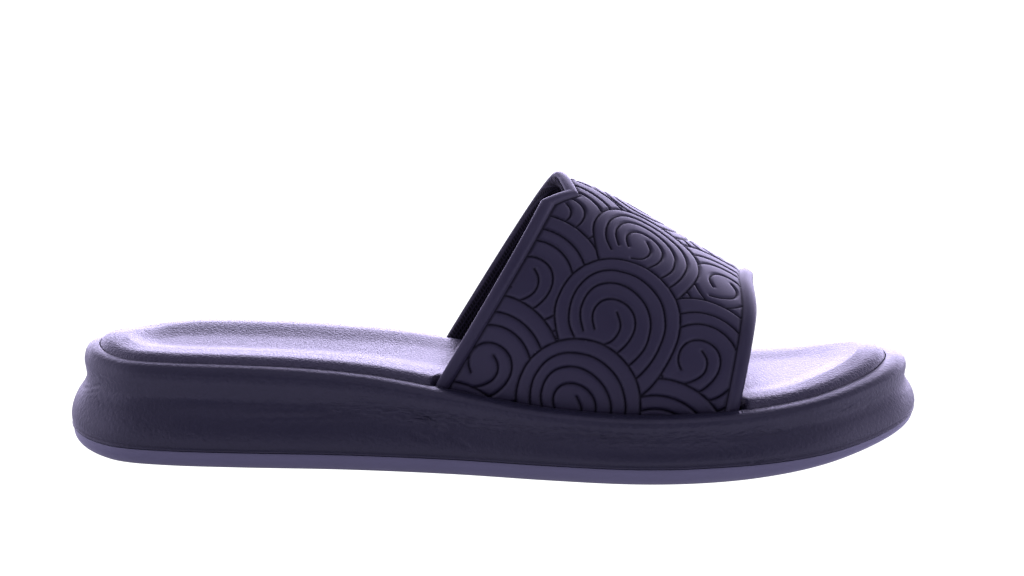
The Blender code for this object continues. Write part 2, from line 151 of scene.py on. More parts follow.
# Stage: where lamps and camera aim, and the camera's place and turn in degrees
LOOK_AT = (0.1025, 0.0, 0.030)
CAMERA_DISTANCE = 1.05
CAMERA_ORBIT = 4.0
CAMERA_LIFT = 12.5
CAMERA_YAW = 3.6
CAMERA_PITCH = 11.16
FOCAL_PIXELS = 3116.0
IMAGE_WIDTH = 1024.0
SENSOR_WIDTH = 36.0
LIGHT_TINT = (0.72, 0.65, 1.0)
BACKDROP_COLOUR = (1.0, 1.0, 1.0, 1.0)
BACKDROP_STRENGTH = 1.3
TENT_BACK_STRENGTH = 12.2
TENT_BACK_FALL = 5.5
TENT_SIDE_STRENGTH = 2.30
TENT_LEAST_STRENGTH = 0.10

# Widest line of the sole. Columns: share of the length, share of the local half width.
LITTLE_TOE_SIDE = (
    (0.0174, -0.480),
    (0.065, -0.831),
    (0.130, -0.965),
    (0.220, -1.005),
    (0.340, -0.970),
    (0.460, -0.918),
    (0.570, -0.940),
    (0.660, -0.978),
    (0.750, -0.968),
    (0.830, -0.897),
    (0.900, -0.745),
    (0.955, -0.485),
    (0.988, -0.210),
)
BIG_TOE_SIDE = (
    (0.0174, 0.455),
    (0.065, 0.792),
    (0.130, 0.922),
    (0.220, 0.948),
    (0.340, 0.903),
    (0.460, 0.869),
    (0.570, 0.934),
    (0.660, 1.010),
    (0.750, 1.028),
    (0.830, 0.990),
    (0.900, 0.900),
    (0.955, 0.700),
    (0.988, 0.438),
)
HEEL_TIP = (0.0, 0.0)
TOE_TIP = (1.0, 0.112)

# Columns: share of the length, share of the way from heel to ball thickness
THICKNESS_DROP = (
    (0.00, 0.00),
    (0.24, 0.02),
    (0.36, 0.20),
    (0.45, 0.52),
    (0.55, 0.87),
    (0.65, 1.00),
    (0.80, 1.00),
    (1.00, 1.00),
)

# Side of the midsole. Columns: share of the height, share of the taper drawn in.
SIDE_PROFILE = (
    (0.00, 0.10),
    (0.06, 0.03),
    (0.14, 0.00),
    (0.27, 0.14),
    (0.40, 0.45),
    (0.51, 0.84),
    (0.60, 1.04),
    (0.70, 1.00),
    (0.81, 0.92),
    (0.90, 1.00),
)

# Little bead where the midsole meets the outsole. Columns: height over the seam, inset, both in mm.
SEAM_BEAD = (
    (0.00, 0.62),
    (0.06, 0.34),
    (0.20, 0.16),
    (0.44, 0.12),
    (0.72, 0.20),
    (0.92, 0.38),
    (1.08, 0.42),
    (1.28, 0.30),
    (1.60, 0.16),
)

# Rolled rim. Columns: share of the roll inwards, share of the height.
RIM_PROFILE = (
    (0.06, 0.915),
    (0.13, 0.936),
    (0.22, 0.956),
    (0.35, 0.974),
    (0.52, 0.988),
    (0.75, 0.997),
    (1.00, 1.000),
)

# Inner edge of the rim, down into the footbed's pocket. Columns: distance outwards, depth.
RIM_LIP = (
    (0.35 * MM, 0.10 * MM),
    (0.08 * MM, 0.30 * MM),
    (0.0, RIM_EDGE_ROUND),
    (0.0, POCKET_DEPTH),
)

# Shoulder of the footbed. Columns: way inwards as a share of its width, share of the rise.
PAD_SLOPE = (
    (0.00, 0.00),
    (0.05, 0.14),
    (0.11, 0.29),
    (0.18, 0.43),
    (0.26, 0.56),
    (0.35, 0.68),
    (0.45, 0.78),
    (0.56, 0.86),
    (0.69, 0.92),
    (0.84, 0.96),
    (1.04, 0.985),
    (1.40, 0.995),
    (1.85, 1.00),
)
PAD_REACH = PAD_SHOULDER * PAD_SLOPE[-1][0]

# Height of the strap's ridge. Columns: share of the way from back to front edge, share of the drop.
CROWN_DROP = (
    (-0.60, -0.38),
    (0.00, 0.00),
    (0.20, 0.13),
    (0.40, 0.32),
    (0.70, 0.66),
    (1.00, 1.00),
    (1.30, 1.33),
)

# Cut edge and raised rim of the strap, inner face to panel. Columns: distance from the edge as a
# share of the rim's width, and height over the panel in mm.
RIM_SECTION = (
    (0.500, -3.00),
    (0.360, -2.90),
    (0.270, -2.55),
    (0.210, -2.10),
    (0.165, -1.60),
    (0.120, -1.10),
    (0.060, -0.70),
    (0.018, -0.42),
    (0.000, -0.12),
    (0.014, 0.20),
    (0.050, 0.46),
    (0.105, 0.70),
    (0.180, 0.89),
    (0.275, 1.03),
    (0.385, 1.11),
    (0.500, 1.13),
    (0.615, 1.08),
    (0.720, 0.95),
    (0.810, 0.73),
    (0.885, 0.40),
    (0.945, -0.04),
    (1.000, -0.42),
)

# Edge of the lining, turned in along the strap's back edge. Columns: distance from the cut edge
# and height over the panel, both in mm.
LINING_TURN = (
    (0.62, -0.98),
    (0.80, -1.55),
    (0.98, -2.08),
    (1.26, -2.56),
    (1.68, -2.94),
    (2.40, -3.05),
)

# Grooves of the two medallions. Columns: way from the eye to the toe and upwards, in mm.
WHORL_OUTLINE = (
    (-15.3, -10.0),
    (-17.5, -4.0),
    (-18.0, 1.0),
    (-16.5, 7.5),
    (-13.5, 13.0),
    (-8.5, 17.5),
    (-3.0, 20.0),
    (2.5, 20.7),
    (8.5, 20.0),
    (14.5, 17.0),
    (19.5, 12.0),
    (22.3, 6.5),
    (23.3, 0.0),
    (23.0, -5.0),
    (21.0, -12.5),
    (17.0, -21.0),
    (10.8, -26.7),
    (2.0, -26.5),
    (-7.0, -21.5),
    (-12.5, -15.5),
)
WHORL_LINES = (
    ((2.2, 1.7), (4.0, -1.5), (4.3, -3.5), (3.0, -7.0), (1.0, -9.0), (-2.0, -10.0)),
    (
        (-4.0, -5.0),
        (-5.5, -1.5),
        (-5.2, 2.0),
        (-3.0, 5.0),
        (1.0, 6.0),
        (5.5, 4.5),
        (8.3, 1.0),
        (8.9, -3.0),
        (7.5, -7.5),
        (5.0, -11.0),
        (3.1, -13.0),
        (-0.5, -15.2),
    ),
    (
        (-7.5, -6.2),
        (-9.2, -2.5),
        (-9.7, 1.5),
        (-8.0, 7.0),
        (-4.5, 10.3),
        (1.0, 11.5),
        (6.5, 9.8),
        (11.0, 6.0),
        (13.5, 1.0),
        (13.9, -3.0),
        (13.3, -8.0),
        (10.5, -13.0),
        (7.0, -16.8),
        (3.0, -19.5),
    ),
    (
        (-9.7, -9.3),
        (-12.5, -5.0),
        (-13.3, 0.0),
        (-12.5, 6.0),
        (-9.0, 12.0),
        (-4.0, 15.3),
        (1.5, 16.0),
        (7.5, 15.0),
        (13.0, 11.5),
        (16.5, 7.0),
        (18.4, 1.0),
        (18.5, -3.0),
        (17.0, -10.0),
        (14.0, -16.0),
        (9.5, -21.5),
        (4.0, -25.0),
    ),
)
CURL_LINES = (
    ((1.5, 4.0), (3.5, 1.5), (3.7, -2.0), (2.0, -5.0), (-2.5, -7.8), (-6.0, -8.6)),
    (
        (-5.0, -3.3),
        (-6.2, -1.5),
        (-6.5, 2.0),
        (-5.0, 5.5),
        (-1.5, 7.7),
        (2.5, 7.7),
        (6.5, 5.5),
        (8.3, 1.5),
        (7.8, -3.0),
        (5.5, -7.0),
        (2.5, -10.0),
        (-2.0, -12.4),
    ),
)
CURL_RADII = (13.8, 18.3)
CURL_OUTLINE_RADIUS = 24.0
CURL_MIDDLE = (1.0, 0.0)

# Short bars between medallions. Each has two ends: place to the toe and height over the rim, in mm.
BARS = (
    ((122.2, 27.5), (124.8, 30.5)),
    ((125.5, 23.0), (127.0, 25.0)),
    ((134.5, 59.3), (137.3, 54.6)),
    ((136.4, 60.6), (134.8, 59.3)),
    ((138.5, 56.0), (137.2, 54.3)),
)

# Medallions: each one covers those after it. Side -1 is the little-toe side and 1 the big-toe side.
# Columns: kind, side, place of the eye to the toe and height over the rim along the strap in mm, size.
MEDALLIONS = (
    ("whorl", -1, 130.7, 2.5, 1.00),
    ("whorl", -1, 143.5, 33.0, 1.00),
    ("whorl", -1, 153.2, 63.7, 0.93),
    ("curl", -1, 157.5, -12.5, 1.00),
    ("curl", -1, 171.9, 17.0, 0.94),
    ("curl", -1, 181.6, 49.0, 1.00),
    ("curl", -1, 89.0, -22.0, 1.00),
    ("curl", -1, 103.5, 10.0, 1.00),
    ("curl", -1, 116.6, 43.2, 1.00),
    ("curl", -1, 126.6, 71.4, 1.00),
    ("whorl", 1, 127.0, 4.0, 1.00),
    ("whorl", 1, 140.0, 36.0, 1.00),
    ("whorl", 1, 150.0, 66.0, 0.93),
    ("curl", 1, 154.0, -11.0, 1.00),
    ("curl", 1, 168.0, 20.0, 0.94),
    ("curl", 1, 178.0, 51.0, 1.00),
    ("curl", 1, 86.0, -20.0, 1.00),
    ("curl", 1, 100.0, 13.0, 1.00),
    ("curl", 1, 113.0, 46.0, 1.00),
    ("curl", 1, 123.0, 74.0, 1.00),
    ("curl", 1, 190.0, -6.0, 1.00),
    ("curl", -1, 195.0, 78.0, 1.00),
    ("curl", -1, 186.0, -8.0, 1.00),
    ("curl", 1, 150.0, 100.0, 1.00),
)

# Flex creases of the side wall, little-toe side. Columns: from and to, each as distance from the
# heel in mm and share of the side's height, then depth and half width in mm.
CREASES = (
    (96, 0.64, 150, 0.60, 0.16, 0.42),
    (104, 0.57, 138, 0.55, 0.14, 0.38),
    (112, 0.70, 168, 0.66, 0.12, 0.40),
    (124, 0.62, 186, 0.60, 0.17, 0.42),
    (131, 0.53, 176, 0.53, 0.15, 0.38),
    (140, 0.69, 205, 0.66, 0.15, 0.42),
    (158, 0.58, 214, 0.57, 0.16, 0.40),
    (166, 0.74, 222, 0.70, 0.10, 0.42),
    (178, 0.50, 224, 0.52, 0.14, 0.40),
    (190, 0.64, 238, 0.62, 0.13, 0.42),
    (206, 0.56, 246, 0.55, 0.11, 0.40),
    (100, 0.50, 122, 0.47, 0.14, 0.45),
    (103, 0.72, 119, 0.55, 0.20, 0.55),
    (107, 0.74, 123, 0.52, 0.24, 0.55),
    (111, 0.73, 127, 0.50, 0.24, 0.55),
    (115, 0.70, 130, 0.46, 0.26, 0.60),
    (120, 0.62, 132, 0.40, 0.20, 0.60),
    (118, 0.36, 126, 0.24, 0.16, 0.80),
    (132, 0.34, 139, 0.22, 0.12, 0.90),
    (60, 0.46, 96, 0.52, 0.10, 0.50),
    (66, 0.38, 100, 0.44, 0.10, 0.50),
    (52, 0.56, 88, 0.58, 0.08, 0.45),
    (252, 0.66, 265, 0.80, 0.08, 0.55),
    (259, 0.58, 270, 0.80, 0.11, 0.50),
    (262, 0.66, 275, 0.74, 0.09, 0.60),
    (269, 0.55, 276, 0.70, 0.10, 0.50),
    (3, 0.56, 12, 0.66, 0.16, 0.55),
    (2, 0.50, 9, 0.54, 0.14, 0.50),
    (5, 0.72, 14, 0.78, 0.12, 0.50),
    (6, 0.46, 18, 0.50, 0.10, 0.50),
    (228, 0.030, 233, 0.055, 0.30, 0.35),
    (240, 0.035, 243, 0.015, 0.28, 0.35),
    (262, 0.045, 264, 0.010, 0.26, 0.35),
    (98, 0.90, 101, 0.80, 0.12, 0.40),
)


def linear(code):
    """Linear colour of an sRGB hex code."""
    parts = [int(code[i : i + 2], 16) / 255 for i in (1, 3, 5)]
    return tuple(p / 12.92 if p <= 0.04045 else ((p + 0.055) / 1.055) ** 2.4 for p in parts)


DUST_COLOUR = (*linear("#6f6e76"), 1.0)
FLOOR_COLOUR = (*linear("#e7e7ea"), 1.0)
FLOOR_GLOW = (*linear("#e5deff"), 1.0)


def smooth_step(value):
    value = np.clip(value, 0.0, 1.0)
    return value * value * (3 - 2 * value)


def blend(first, last, at, start, span):
    """Goes smoothly from the first value to the last, over a span from its start."""
    return first + (last - first) * smooth_step((at - start) / span)


def read_table(table, at):
    """Values of a two-column table, by a cubic with the slopes of its neighbours."""
    places, values = np.array(table).T
    at = np.clip(at, places[0], places[-1])
    low = np.maximum(np.arange(len(places)) - 1, 0)
    high = np.minimum(np.arange(len(places)) + 1, len(places) - 1)
    slopes = (values[high] - values[low]) / (places[high] - places[low])
    i = np.clip(np.searchsorted(places, at, side="right") - 1, 0, len(places) - 2)
    span = places[i + 1] - places[i]
    t = (at - places[i]) / span
    return (
        values[i] * (1 + 2 * t) * (1 - t) ** 2
        + slopes[i] * span * t * (1 - t) ** 2
        + values[i + 1] * t * t * (3 - 2 * t)
        + slopes[i + 1] * span * t * t * (t - 1)
    )


def smooth_line(points, steps=10, closed=False):
    """Catmull-Rom curve through given points."""
    spots = np.array(points, float)
    if closed:
        spots = np.concatenate([spots[-1:], spots, spots[:2]])
    else:
        first, last = 2 * spots[0] - spots[1], 2 * spots[-1] - spots[-2]
        spots = np.concatenate([first[None], spots, last[None]])
    t = np.linspace(0, 1, steps, endpoint=False)[:, None]
    parts = []
    for p0, p1, p2, p3 in zip(spots, spots[1:], spots[2:], spots[3:]):
        bend = (2 * p0 - 5 * p1 + 4 * p2 - p3) * t**2 + (3 * p1 - p0 - 3 * p2 + p3) * t**3
        parts.append(0.5 * (2 * p1 + (p2 - p0) * t + bend))
    return np.concatenate([*parts, spots[-2][None]])


def walked_along(line):
    """Way walked from a line's start to each of its points."""
    return np.concatenate([[0], np.cumsum(np.linalg.norm(np.diff(line, axis=0), axis=1))])


def side_line(rows, opposite):
    """Dense outline of one side, heel to toe, with its outward normals and the way walked."""
    control = [opposite[0], HEEL_TIP, *rows, TOE_TIP, opposite[-1]]
    along = np.array([row[0] for row in control])
    half = 0.5 * blend(HEEL_WIDTH, BALL_WIDTH, along, 0.25, 0.40)
    spots = np.stack([along * SOLE_LENGTH, np.array([row[1] for row in control]) * half], axis=1)
    steps = 60
    line = smooth_line(spots, steps)[steps : -steps]
    run = np.gradient(line, axis=0)
    normal = np.stack([run[:, 1], -run[:, 0]], axis=1) * (1 if rows is LITTLE_TOE_SIDE else -1)
    normal /= np.linalg.norm(normal, axis=1)[:, None]
    return line, normal, walked_along(line)


SIDE_LINES = {
    -1: side_line(LITTLE_TOE_SIDE, BIG_TOE_SIDE),
    1: side_line(BIG_TOE_SIDE, LITTLE_TOE_SIDE),
}

# Both sides share one outward direction at the heel's and the toe's tip
for end in (0, -1):
    middle = SIDE_LINES[-1][1][end] + SIDE_LINES[1][1][end]
    for side in SIDE_LINES:
        SIDE_LINES[side][1][end] = middle / np.linalg.norm(middle)


def bottom_height(s):
    """Height of the sole's underside: the toe springs up over its last third, the heel a little."""
    along = s / SOLE_LENGTH
    toe = np.maximum(0, (along - 0.66) / 0.34)
    heel = np.maximum(0, (0.07 - along) / 0.07)
    return TOE_SPRING * toe**2.3 + HEEL_SPRING * heel**2


def crest_height(s):
    """Height of the rim's top."""
    along = s / SOLE_LENGTH
    ball = blend(BALL_THICKNESS, TOE_THICKNESS, along, 0.80, 0.20)
    drop = read_table(THICKNESS_DROP, along)
    return bottom_height(s) + HEEL_THICKNESS + (ball - HEEL_THICKNESS) * drop


def seam_height(s):
    """Height where the outsole meets the midsole."""
    thickness = blend(OUTSOLE_THICKNESS, OUTSOLE_TOE_THICKNESS, s / SOLE_LENGTH, 0.75, 0.25)
    return bottom_height(s) + thickness


def taper(s):
    """How far the side wall is drawn in where it is narrowest."""
    return blend(HEEL_TAPER, FORE_TAPER, s / SOLE_LENGTH, 0.15, 0.35)


def side_rise(side, s):
    """Rise of the footbed's shoulder on one side: the big-toe side, under the arch, stands higher."""
    rise = blend(HEEL_PAD_RISE, TOE_PAD_RISE, s / SOLE_LENGTH, 0.30, 0.60)
    from_heel = smooth_step(s / HEEL_TIP_REACH)
    from_toe = smooth_step((SOLE_LENGTH - s) / TOE_TIP_REACH)
    drop = LOW_SIDE_DROP * blend(1.0, 0.15, s, 0.120, 0.090) * (side < 0)
    return rise * (1 - HEEL_TIP_DROP * (1 - from_heel) - drop * from_heel * from_toe)


def dish_depth(s):
    """Depth of the solid footbed's dish."""
    return blend(HEEL_CUP_DEPTH, FORE_DISH_DEPTH, s / SOLE_LENGTH, 0.20, 0.30)


def back_edge(height):
    """Distance from the heel of the strap's leaning back edge, at a height."""
    return BACK_EDGE_DISTANCE + BACK_EDGE_LEAN * (height - crest_height(BACK_EDGE_DISTANCE))


def front_edge(height):
    """Distance from the heel of the strap's leaning front edge, at a height."""
    return FRONT_EDGE_DISTANCE + FRONT_EDGE_LEAN * (height - crest_height(FRONT_EDGE_DISTANCE))


def slot_inset(side, s, depth):
    """How much further in the footbed stands beside the strap's leg, at one depth under the rim."""
    skew = BACK_EDGE_SKEW if side > 0 else 0.0
    start = back_edge(crest_height(BACK_EDGE_DISTANCE) - depth) - SLOT_BACK_ROOM - skew
    end = FRONT_EDGE_DISTANCE + SLOT_FRONT_ROOM
    opens = smooth_step((s - start + SLOT_RAMP) / SLOT_RAMP)
    closes = smooth_step((end + SLOT_RAMP - s) / SLOT_RAMP)
    return (STRAP_RIM_RAISE + STRAP_WALL + 2 * CLEARANCE + LINING_THICKNESS) * opens * closes


def crown_height(s):
    """Height of the strap's ridge."""
    back = back_edge(BACK_CROWN_HEIGHT)
    drop = read_table(CROWN_DROP, (s - back) / (FRONT_EDGE_DISTANCE - back))
    return BACK_CROWN_HEIGHT - (BACK_CROWN_HEIGHT - FRONT_CROWN_HEIGHT) * drop


def quarter(turn, reach, rise):
    """Point of the rounded-square quarter arch at one turn from its knee."""
    size = (np.cos(turn) ** ARCH_POWER + np.sin(turn) ** ARCH_POWER) ** (-1 / ARCH_POWER)
    return reach * size * np.cos(turn), rise * size * np.sin(turn)


class Arch:
    """Outer face of the strap's panel, as tables along the sole.

    A share across the strap is -1 at its little-toe end, 0 at the ridge and 1 at its other end.
    """

    stations = np.linspace(0.100, 0.250, 301)
    shares = np.linspace(0, 1, 401)

    def __init__(self):
        across, foot = {}, {}
        for side, (line, normal, _) in SIDE_LINES.items():
            leg = line - normal * LEG_INSET
            # between the tips, where the outline's distance from the heel grows steadily
            keep = (line[:, 0] > 0.05) & (line[:, 0] < 0.275)
            across[side] = np.interp(self.stations, leg[keep, 0], leg[keep, 1])
            station = np.interp(self.stations, leg[keep, 0], line[keep, 0])
            foot[side] = crest_height(station) - POCKET_DEPTH + STRAP_FOOT_LIFT
        self.middle = (across[-1] + across[1]) / 2
        self.reach = (across[1] - across[-1]) / 2
        self.knee = crest_height(self.stations)
        self.rise = crown_height(self.stations) - self.knee
        self.leg = {side: self.knee - foot[side] for side in foot}
        span = FRONT_EDGE_DISTANCE - BACK_EDGE_DISTANCE
        self.tilt = blend(BACK_TOP_TILT, FRONT_TOP_TILT, self.stations, BACK_EDGE_DISTANCE, span)
        turns = np.linspace(0, math.pi / 2, 401)
        y, z = quarter(turns[None], self.reach[:, None], self.rise[:, None])
        steps = np.hypot(np.diff(y, axis=1), np.diff(z, axis=1))
        walked = np.concatenate([np.zeros((len(steps), 1)), np.cumsum(steps, axis=1)], axis=1)
        self.length = walked[:, -1]
        self.turn = np.array([np.interp(self.shares * w[-1], w, turns) for w in walked])

    def at(self, table, s):
        """Value of one of the tables, at a distance from the heel."""
        return np.interp(s, self.stations, table)

    def share_at(self, side, s, height):
        """Share of the arch at one way up from its knee."""
        leg = self.at(self.leg[side], s)
        return side * (1 - (height + leg) / (leg + self.at(self.length, s)))

    def total(self, s):
        """Way from the strap's little-toe end up to its ridge."""
        return self.at(self.length + self.leg[-1], s)

    def point(self, s, share):
        """Place on the outer face, at a distance from the heel and a share across the strap."""
        s, share = np.broadcast_arrays(np.asarray(s, float), np.asarray(share, float))
        side = np.where(share < 0, -1.0, 1.0)
        leg = np.where(share < 0, self.at(self.leg[-1], s), self.at(self.leg[1], s))
        length, knee = self.at(self.length, s), self.at(self.knee, s)
        reach, rise = self.at(self.reach, s), self.at(self.rise, s)
        walked = (1 - np.abs(share)) * (leg + length)
        step = self.stations[1] - self.stations[0]
        i = np.clip((s - self.stations[0]) / step, 0, len(self.stations) - 1.001)
        j = np.clip((walked - leg) / length, 0, 0.999999) * (len(self.shares) - 1)
        i0, j0 = i.astype(int), j.astype(int)
        fi, fj = i - i0, j - j0
        low = self.turn[i0, j0] * (1 - fi) + self.turn[i0 + 1, j0] * fi
        high = self.turn[i0, j0 + 1] * (1 - fi) + self.turn[i0 + 1, j0 + 1] * fi
        y, z = quarter(low * (1 - fj) + high * fj, reach, rise)
        lift = self.at(self.tilt, s) * side * y * (z / rise) ** 2
        on_leg = walked < leg
        across = self.at(self.middle, s) + side * np.where(on_leg, reach, y)
        up = np.where(on_leg, knee - leg + walked, knee + z + lift)
        return np.stack([s - HEEL_SEAT, across, up], axis=-1)

    def slopes(self, s, share):
        """Unit directions along and across the strap, and the outward normal."""
        high, low = np.clip(share + 0.004, -1, 1), np.clip(share - 0.004, -1, 1)
        along = self.point(s + 0.0005, share) - self.point(s - 0.0005, share)
        across = self.point(s, high) - self.point(s, low)
        normal = np.cross(along, across)
        along /= np.linalg.norm(along, axis=-1)[..., None]
        normal /= np.linalg.norm(normal, axis=-1)[..., None]
        return along, np.cross(normal, along), normal

    def edges(self, share):
        """Distances from the heel of the back and front cut edge."""
        back = np.full(share.shape, BACK_EDGE_DISTANCE)
        front = np.full(share.shape, FRONT_EDGE_DISTANCE)
        for _ in range(8):
            rear, fore = self.point(back, share), self.point(front, share)
            across = rear[..., 1] - NOTCH_MIDDLE
            half = np.where(across < 0, NOTCH_NEAR_WIDTH, NOTCH_FAR_WIDTH)
            notch = np.maximum(0, 1 - np.abs(across) / half)
            recess = smooth_step(1 - np.abs(fore[..., 1]) / FRONT_RECESS_HALF_WIDTH)
            low_down = (BACK_CROWN_HEIGHT - rear[..., 2]) / (BACK_CROWN_HEIGHT - HEEL_THICKNESS)
            low_down = np.sqrt(np.clip(low_down, 0, 1))
            skewed = smooth_step((share + SKEW_BLEND) / (2 * SKEW_BLEND))
            back = back_edge(rear[..., 2]) + NOTCH_DEPTH * notch
            back -= BACK_EDGE_SKEW * skewed * low_down
            front = front_edge(fore[..., 2]) - FRONT_CROWN_RECESS * recess
            front -= FRONT_EDGE_SKEW * skewed
        return back, front


ARCH = Arch()


def circle_line(radius):
    """Circle round the curl's middle, in mm."""
    turn = np.linspace(0, 2 * math.pi, 73)
    return np.array(CURL_MIDDLE) + radius * np.stack([np.cos(turn), np.sin(turn)], axis=1)


def soft_line(points, closed=False, step_mm=0.5, rounds=14):
    """Curve through given points with their small kinks evened out."""
    line = smooth_line(points, closed=closed)
    walked = walked_along(line)
    even = np.linspace(0, walked[-1], int(walked[-1] / step_mm) + 2)
    line = np.stack([np.interp(even, walked, line[:, k]) for k in (0, 1)], axis=1)
    for _ in range(rounds):
        middle = (line[:-2] + 2 * line[1:-1] + line[2:]) / 4
        if closed:
            seam = (line[-2] + 2 * line[0] + line[1]) / 4
            line = np.concatenate([seam[None], middle, seam[None]])
        else:
            line = np.concatenate([line[:1], middle, line[-1:]])
    return line


def motif_lines(kind):
    """Outline and grooves of one kind of medallion, in mm."""
    if kind == "curl":
        grooves = [circle_line(radius) for radius in CURL_RADII]
        return circle_line(CURL_OUTLINE_RADIUS), grooves + [soft_line(line) for line in CURL_LINES]
    return soft_line(WHORL_OUTLINE, closed=True), [soft_line(line) for line in WHORL_LINES]


def way_to_line(spots, line):
    """Way from each spot to the nearest point of a line, in the same flat frame."""
    best = np.full(len(spots), np.inf)
    way = np.zeros_like(spots)
    for start, end in zip(line, line[1:]):
        run = end - start
        t = np.clip(((spots - start) @ run) / max(run @ run, 1e-12), 0, 1)
        gap = start + t[:, None] * run - spots
        size = np.einsum("ij,ij->i", gap, gap)
        closer = size < best
        best[closer], way[closer] = size[closer], gap[closer]
    return way


def inside_line(spots, line):
    """Whether each spot lies inside a closed line."""
    found = np.zeros(len(spots), bool)
    x, y = spots.T
    for (x0, y0), (x1, y1) in zip(line, line[1:]):
        if y0 == y1:
            continue
        crosses = (y0 > y) != (y1 > y)
        found ^= crosses & (x < x0 + (y - y0) * (x1 - x0) / (y1 - y0))
    return found


def keep_closer(best, way, rows, found):
    """Takes over the ways found for some rows, where they are shorter than the best so far."""
    gap = np.linalg.norm(found, axis=1)
    closer = gap < best[rows]
    best[rows[closer]], way[rows[closer]] = gap[closer], found[closer]


class Relief:
    """Grooves of the overlapping medallions: the way from any point of the panel to the nearest."""

    reach_mm = 32.0
    far_mm = 9.0

    def __init__(self):
        self.placed = []
        for kind, side, ahead, height, size in MEDALLIONS:
            s = ahead * MM + HEEL_SEAT
            share = ARCH.share_at(side, s, max(height, 0.0) * MM)
            sunk = min(height, 0.0)
            self.placed.append((motif_lines(kind), s, share, sunk, size, side > 0))

    def ways(self, s, share):
        """Distance in mm to the nearest groove, and the way to it along and across the strap."""
        spots = ARCH.point(s, share) / MM
        best = np.full(len(s), self.far_mm)
        way = np.zeros((len(s), 2))
        free = np.ones(len(s), bool)
        for (outline, grooves), at, at_share, sunk, size, mirrored in self.placed:
            along, across, _ = ARCH.slopes(np.array([at]), np.array([at_share]))
            offset = spots - ARCH.point(at, at_share) / MM - np.array([0.0, 0.0, sunk])
            chord = np.linalg.norm(offset, axis=1)
            near = np.flatnonzero(free & (chord < self.reach_mm * size))
            flat = np.stack([offset[near] @ along[0], offset[near] @ across[0]], axis=1)
            flat *= (chord[near] / np.maximum(np.linalg.norm(flat, axis=1), 1e-6))[:, None]
            upwards = np.array([1.0, -1.0 if mirrored else 1.0])
            local = flat * upwards / size
            covered = inside_line(local, outline)
            keep_closer(best, way, near, way_to_line(local, outline) * upwards * size)
            for groove in grooves:
                found = way_to_line(local[covered], groove) * upwards * size
                keep_closer(best, way, near[covered], found)
            free[near[covered]] = False
        self.bars(s, share, free, best, way)
        return best, way

    def bars(self, s, share, free, best, way):
        """Short bars in the gaps between medallions on the little-toe side."""
        rows = np.flatnonzero(free & (share < 0))
        leg = ARCH.at(ARCH.leg[-1], s[rows])
        height = (1 + share[rows]) * ARCH.total(s[rows]) - leg
        chart = np.stack([s[rows] - HEEL_SEAT, height], axis=1) / MM
        for bar in BARS:
            keep_closer(best, way, rows, way_to_line(chart, np.array(bar)))


def flat_grid(rows, columns):
    """Grid of rows x columns points, as a bmesh in reading order."""
    bm = bmesh.new()
    bmesh.ops.create_grid(bm, x_segments=columns - 1, y_segments=rows - 1, size=1.0)
    bm.verts.ensure_lookup_table()
    return bm


def wrap(bm, places):
    """Moves the grid's points to their places on the shape."""
    for vert, place in zip(bm.verts, places.reshape(-1, 3)):
        vert.co = place


def set_values(bm, name, values):
    """Keeps a value for each point, which a material reads by its name."""
    layer = bm.verts.layers.float.new(name)
    for vert, value in zip(bm.verts, values.reshape(-1)):
        vert[layer] = value


def close_seams(bm, gap=2e-6):
    """Merges points that meet, closes what is still open, and turns the faces outwards."""
    bmesh.ops.remove_doubles(bm, verts=bm.verts, dist=gap)
    bmesh.ops.dissolve_degenerate(bm, edges=bm.edges, dist=gap)
    open_edges = [edge for edge in bm.edges if edge.is_boundary]
    if open_edges:
        bmesh.ops.holes_fill(bm, edges=open_edges, sides=0)
    bmesh.ops.recalc_face_normals(bm, faces=bm.faces)


def piece_of(name, bm, material, sharp_deg=50):
    """Object from a finished bmesh, riding on the body."""
    mesh = bpy.data.meshes.new(name)
    bm.to_mesh(mesh)
    bm.free()
    mesh.shade_smooth()
    mesh.set_sharp_from_angle(angle=math.radians(sharp_deg))
    mesh.materials.append(material)
    piece = bpy.data.objects.new(name, mesh)
    bpy.context.scene.collection.objects.link(piece)
    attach(piece, "root")
    return piece


def side_rows(side):
    """Evenly walked points of one side of the outline, with normals and distances from the heel."""
    line, normal, walked = SIDE_LINES[side]
    at = np.linspace(0, walked[-1], SOLE_ROWS)
    spot = np.stack([np.interp(at, walked, line[:, k]) for k in (0, 1)], axis=1)
    out = np.stack([np.interp(at, walked, normal[:, k]) for k in (0, 1)], axis=1)
    return spot, out / np.linalg.norm(out, axis=1)[:, None]


def sole_columns(side, profile):
    """Columns of points up one side. The profile gives an inset and a height for each column."""
    spot, out = side_rows(side)
    s = spot[:, 0]
    columns = []
    for inset_of, height_of in profile:
        inset, height = inset_of(side, s), height_of(side, s)
        flat = spot - out * np.broadcast_to(inset, s.shape)[:, None]
        height = np.broadcast_to(height, s.shape)
        columns.append(np.stack([flat[:, 0] - HEEL_SEAT, flat[:, 1], height], axis=1))
    return columns


def bridge(start, end, cells, bow=None):
    """Columns straight across from one column to another, with an extra height."""
    made = []
    for i in range(1, cells):
        t = i / cells
        column = start + (end - start) * t
        if bow:
            column[:, 2] += bow(column)
        made.append(column)
    return made


def sole_piece(profile, top_cells, bottom_cells, top_bow=None, bottom_bow=None):
    """Closed solid: up the little-toe side, over the top, down the big-toe side, back underneath."""
    little, big = sole_columns(-1, profile), sole_columns(1, profile)
    columns = [
        *little,
        *bridge(little[-1], big[-1], top_cells, top_bow),
        *reversed(big),
        *bridge(big[0], little[0], bottom_cells, bottom_bow),
        little[0],
    ]
    places = np.stack(columns, axis=1)
    bm = flat_grid(*places.shape[:2])
    wrap(bm, places)
    return bm


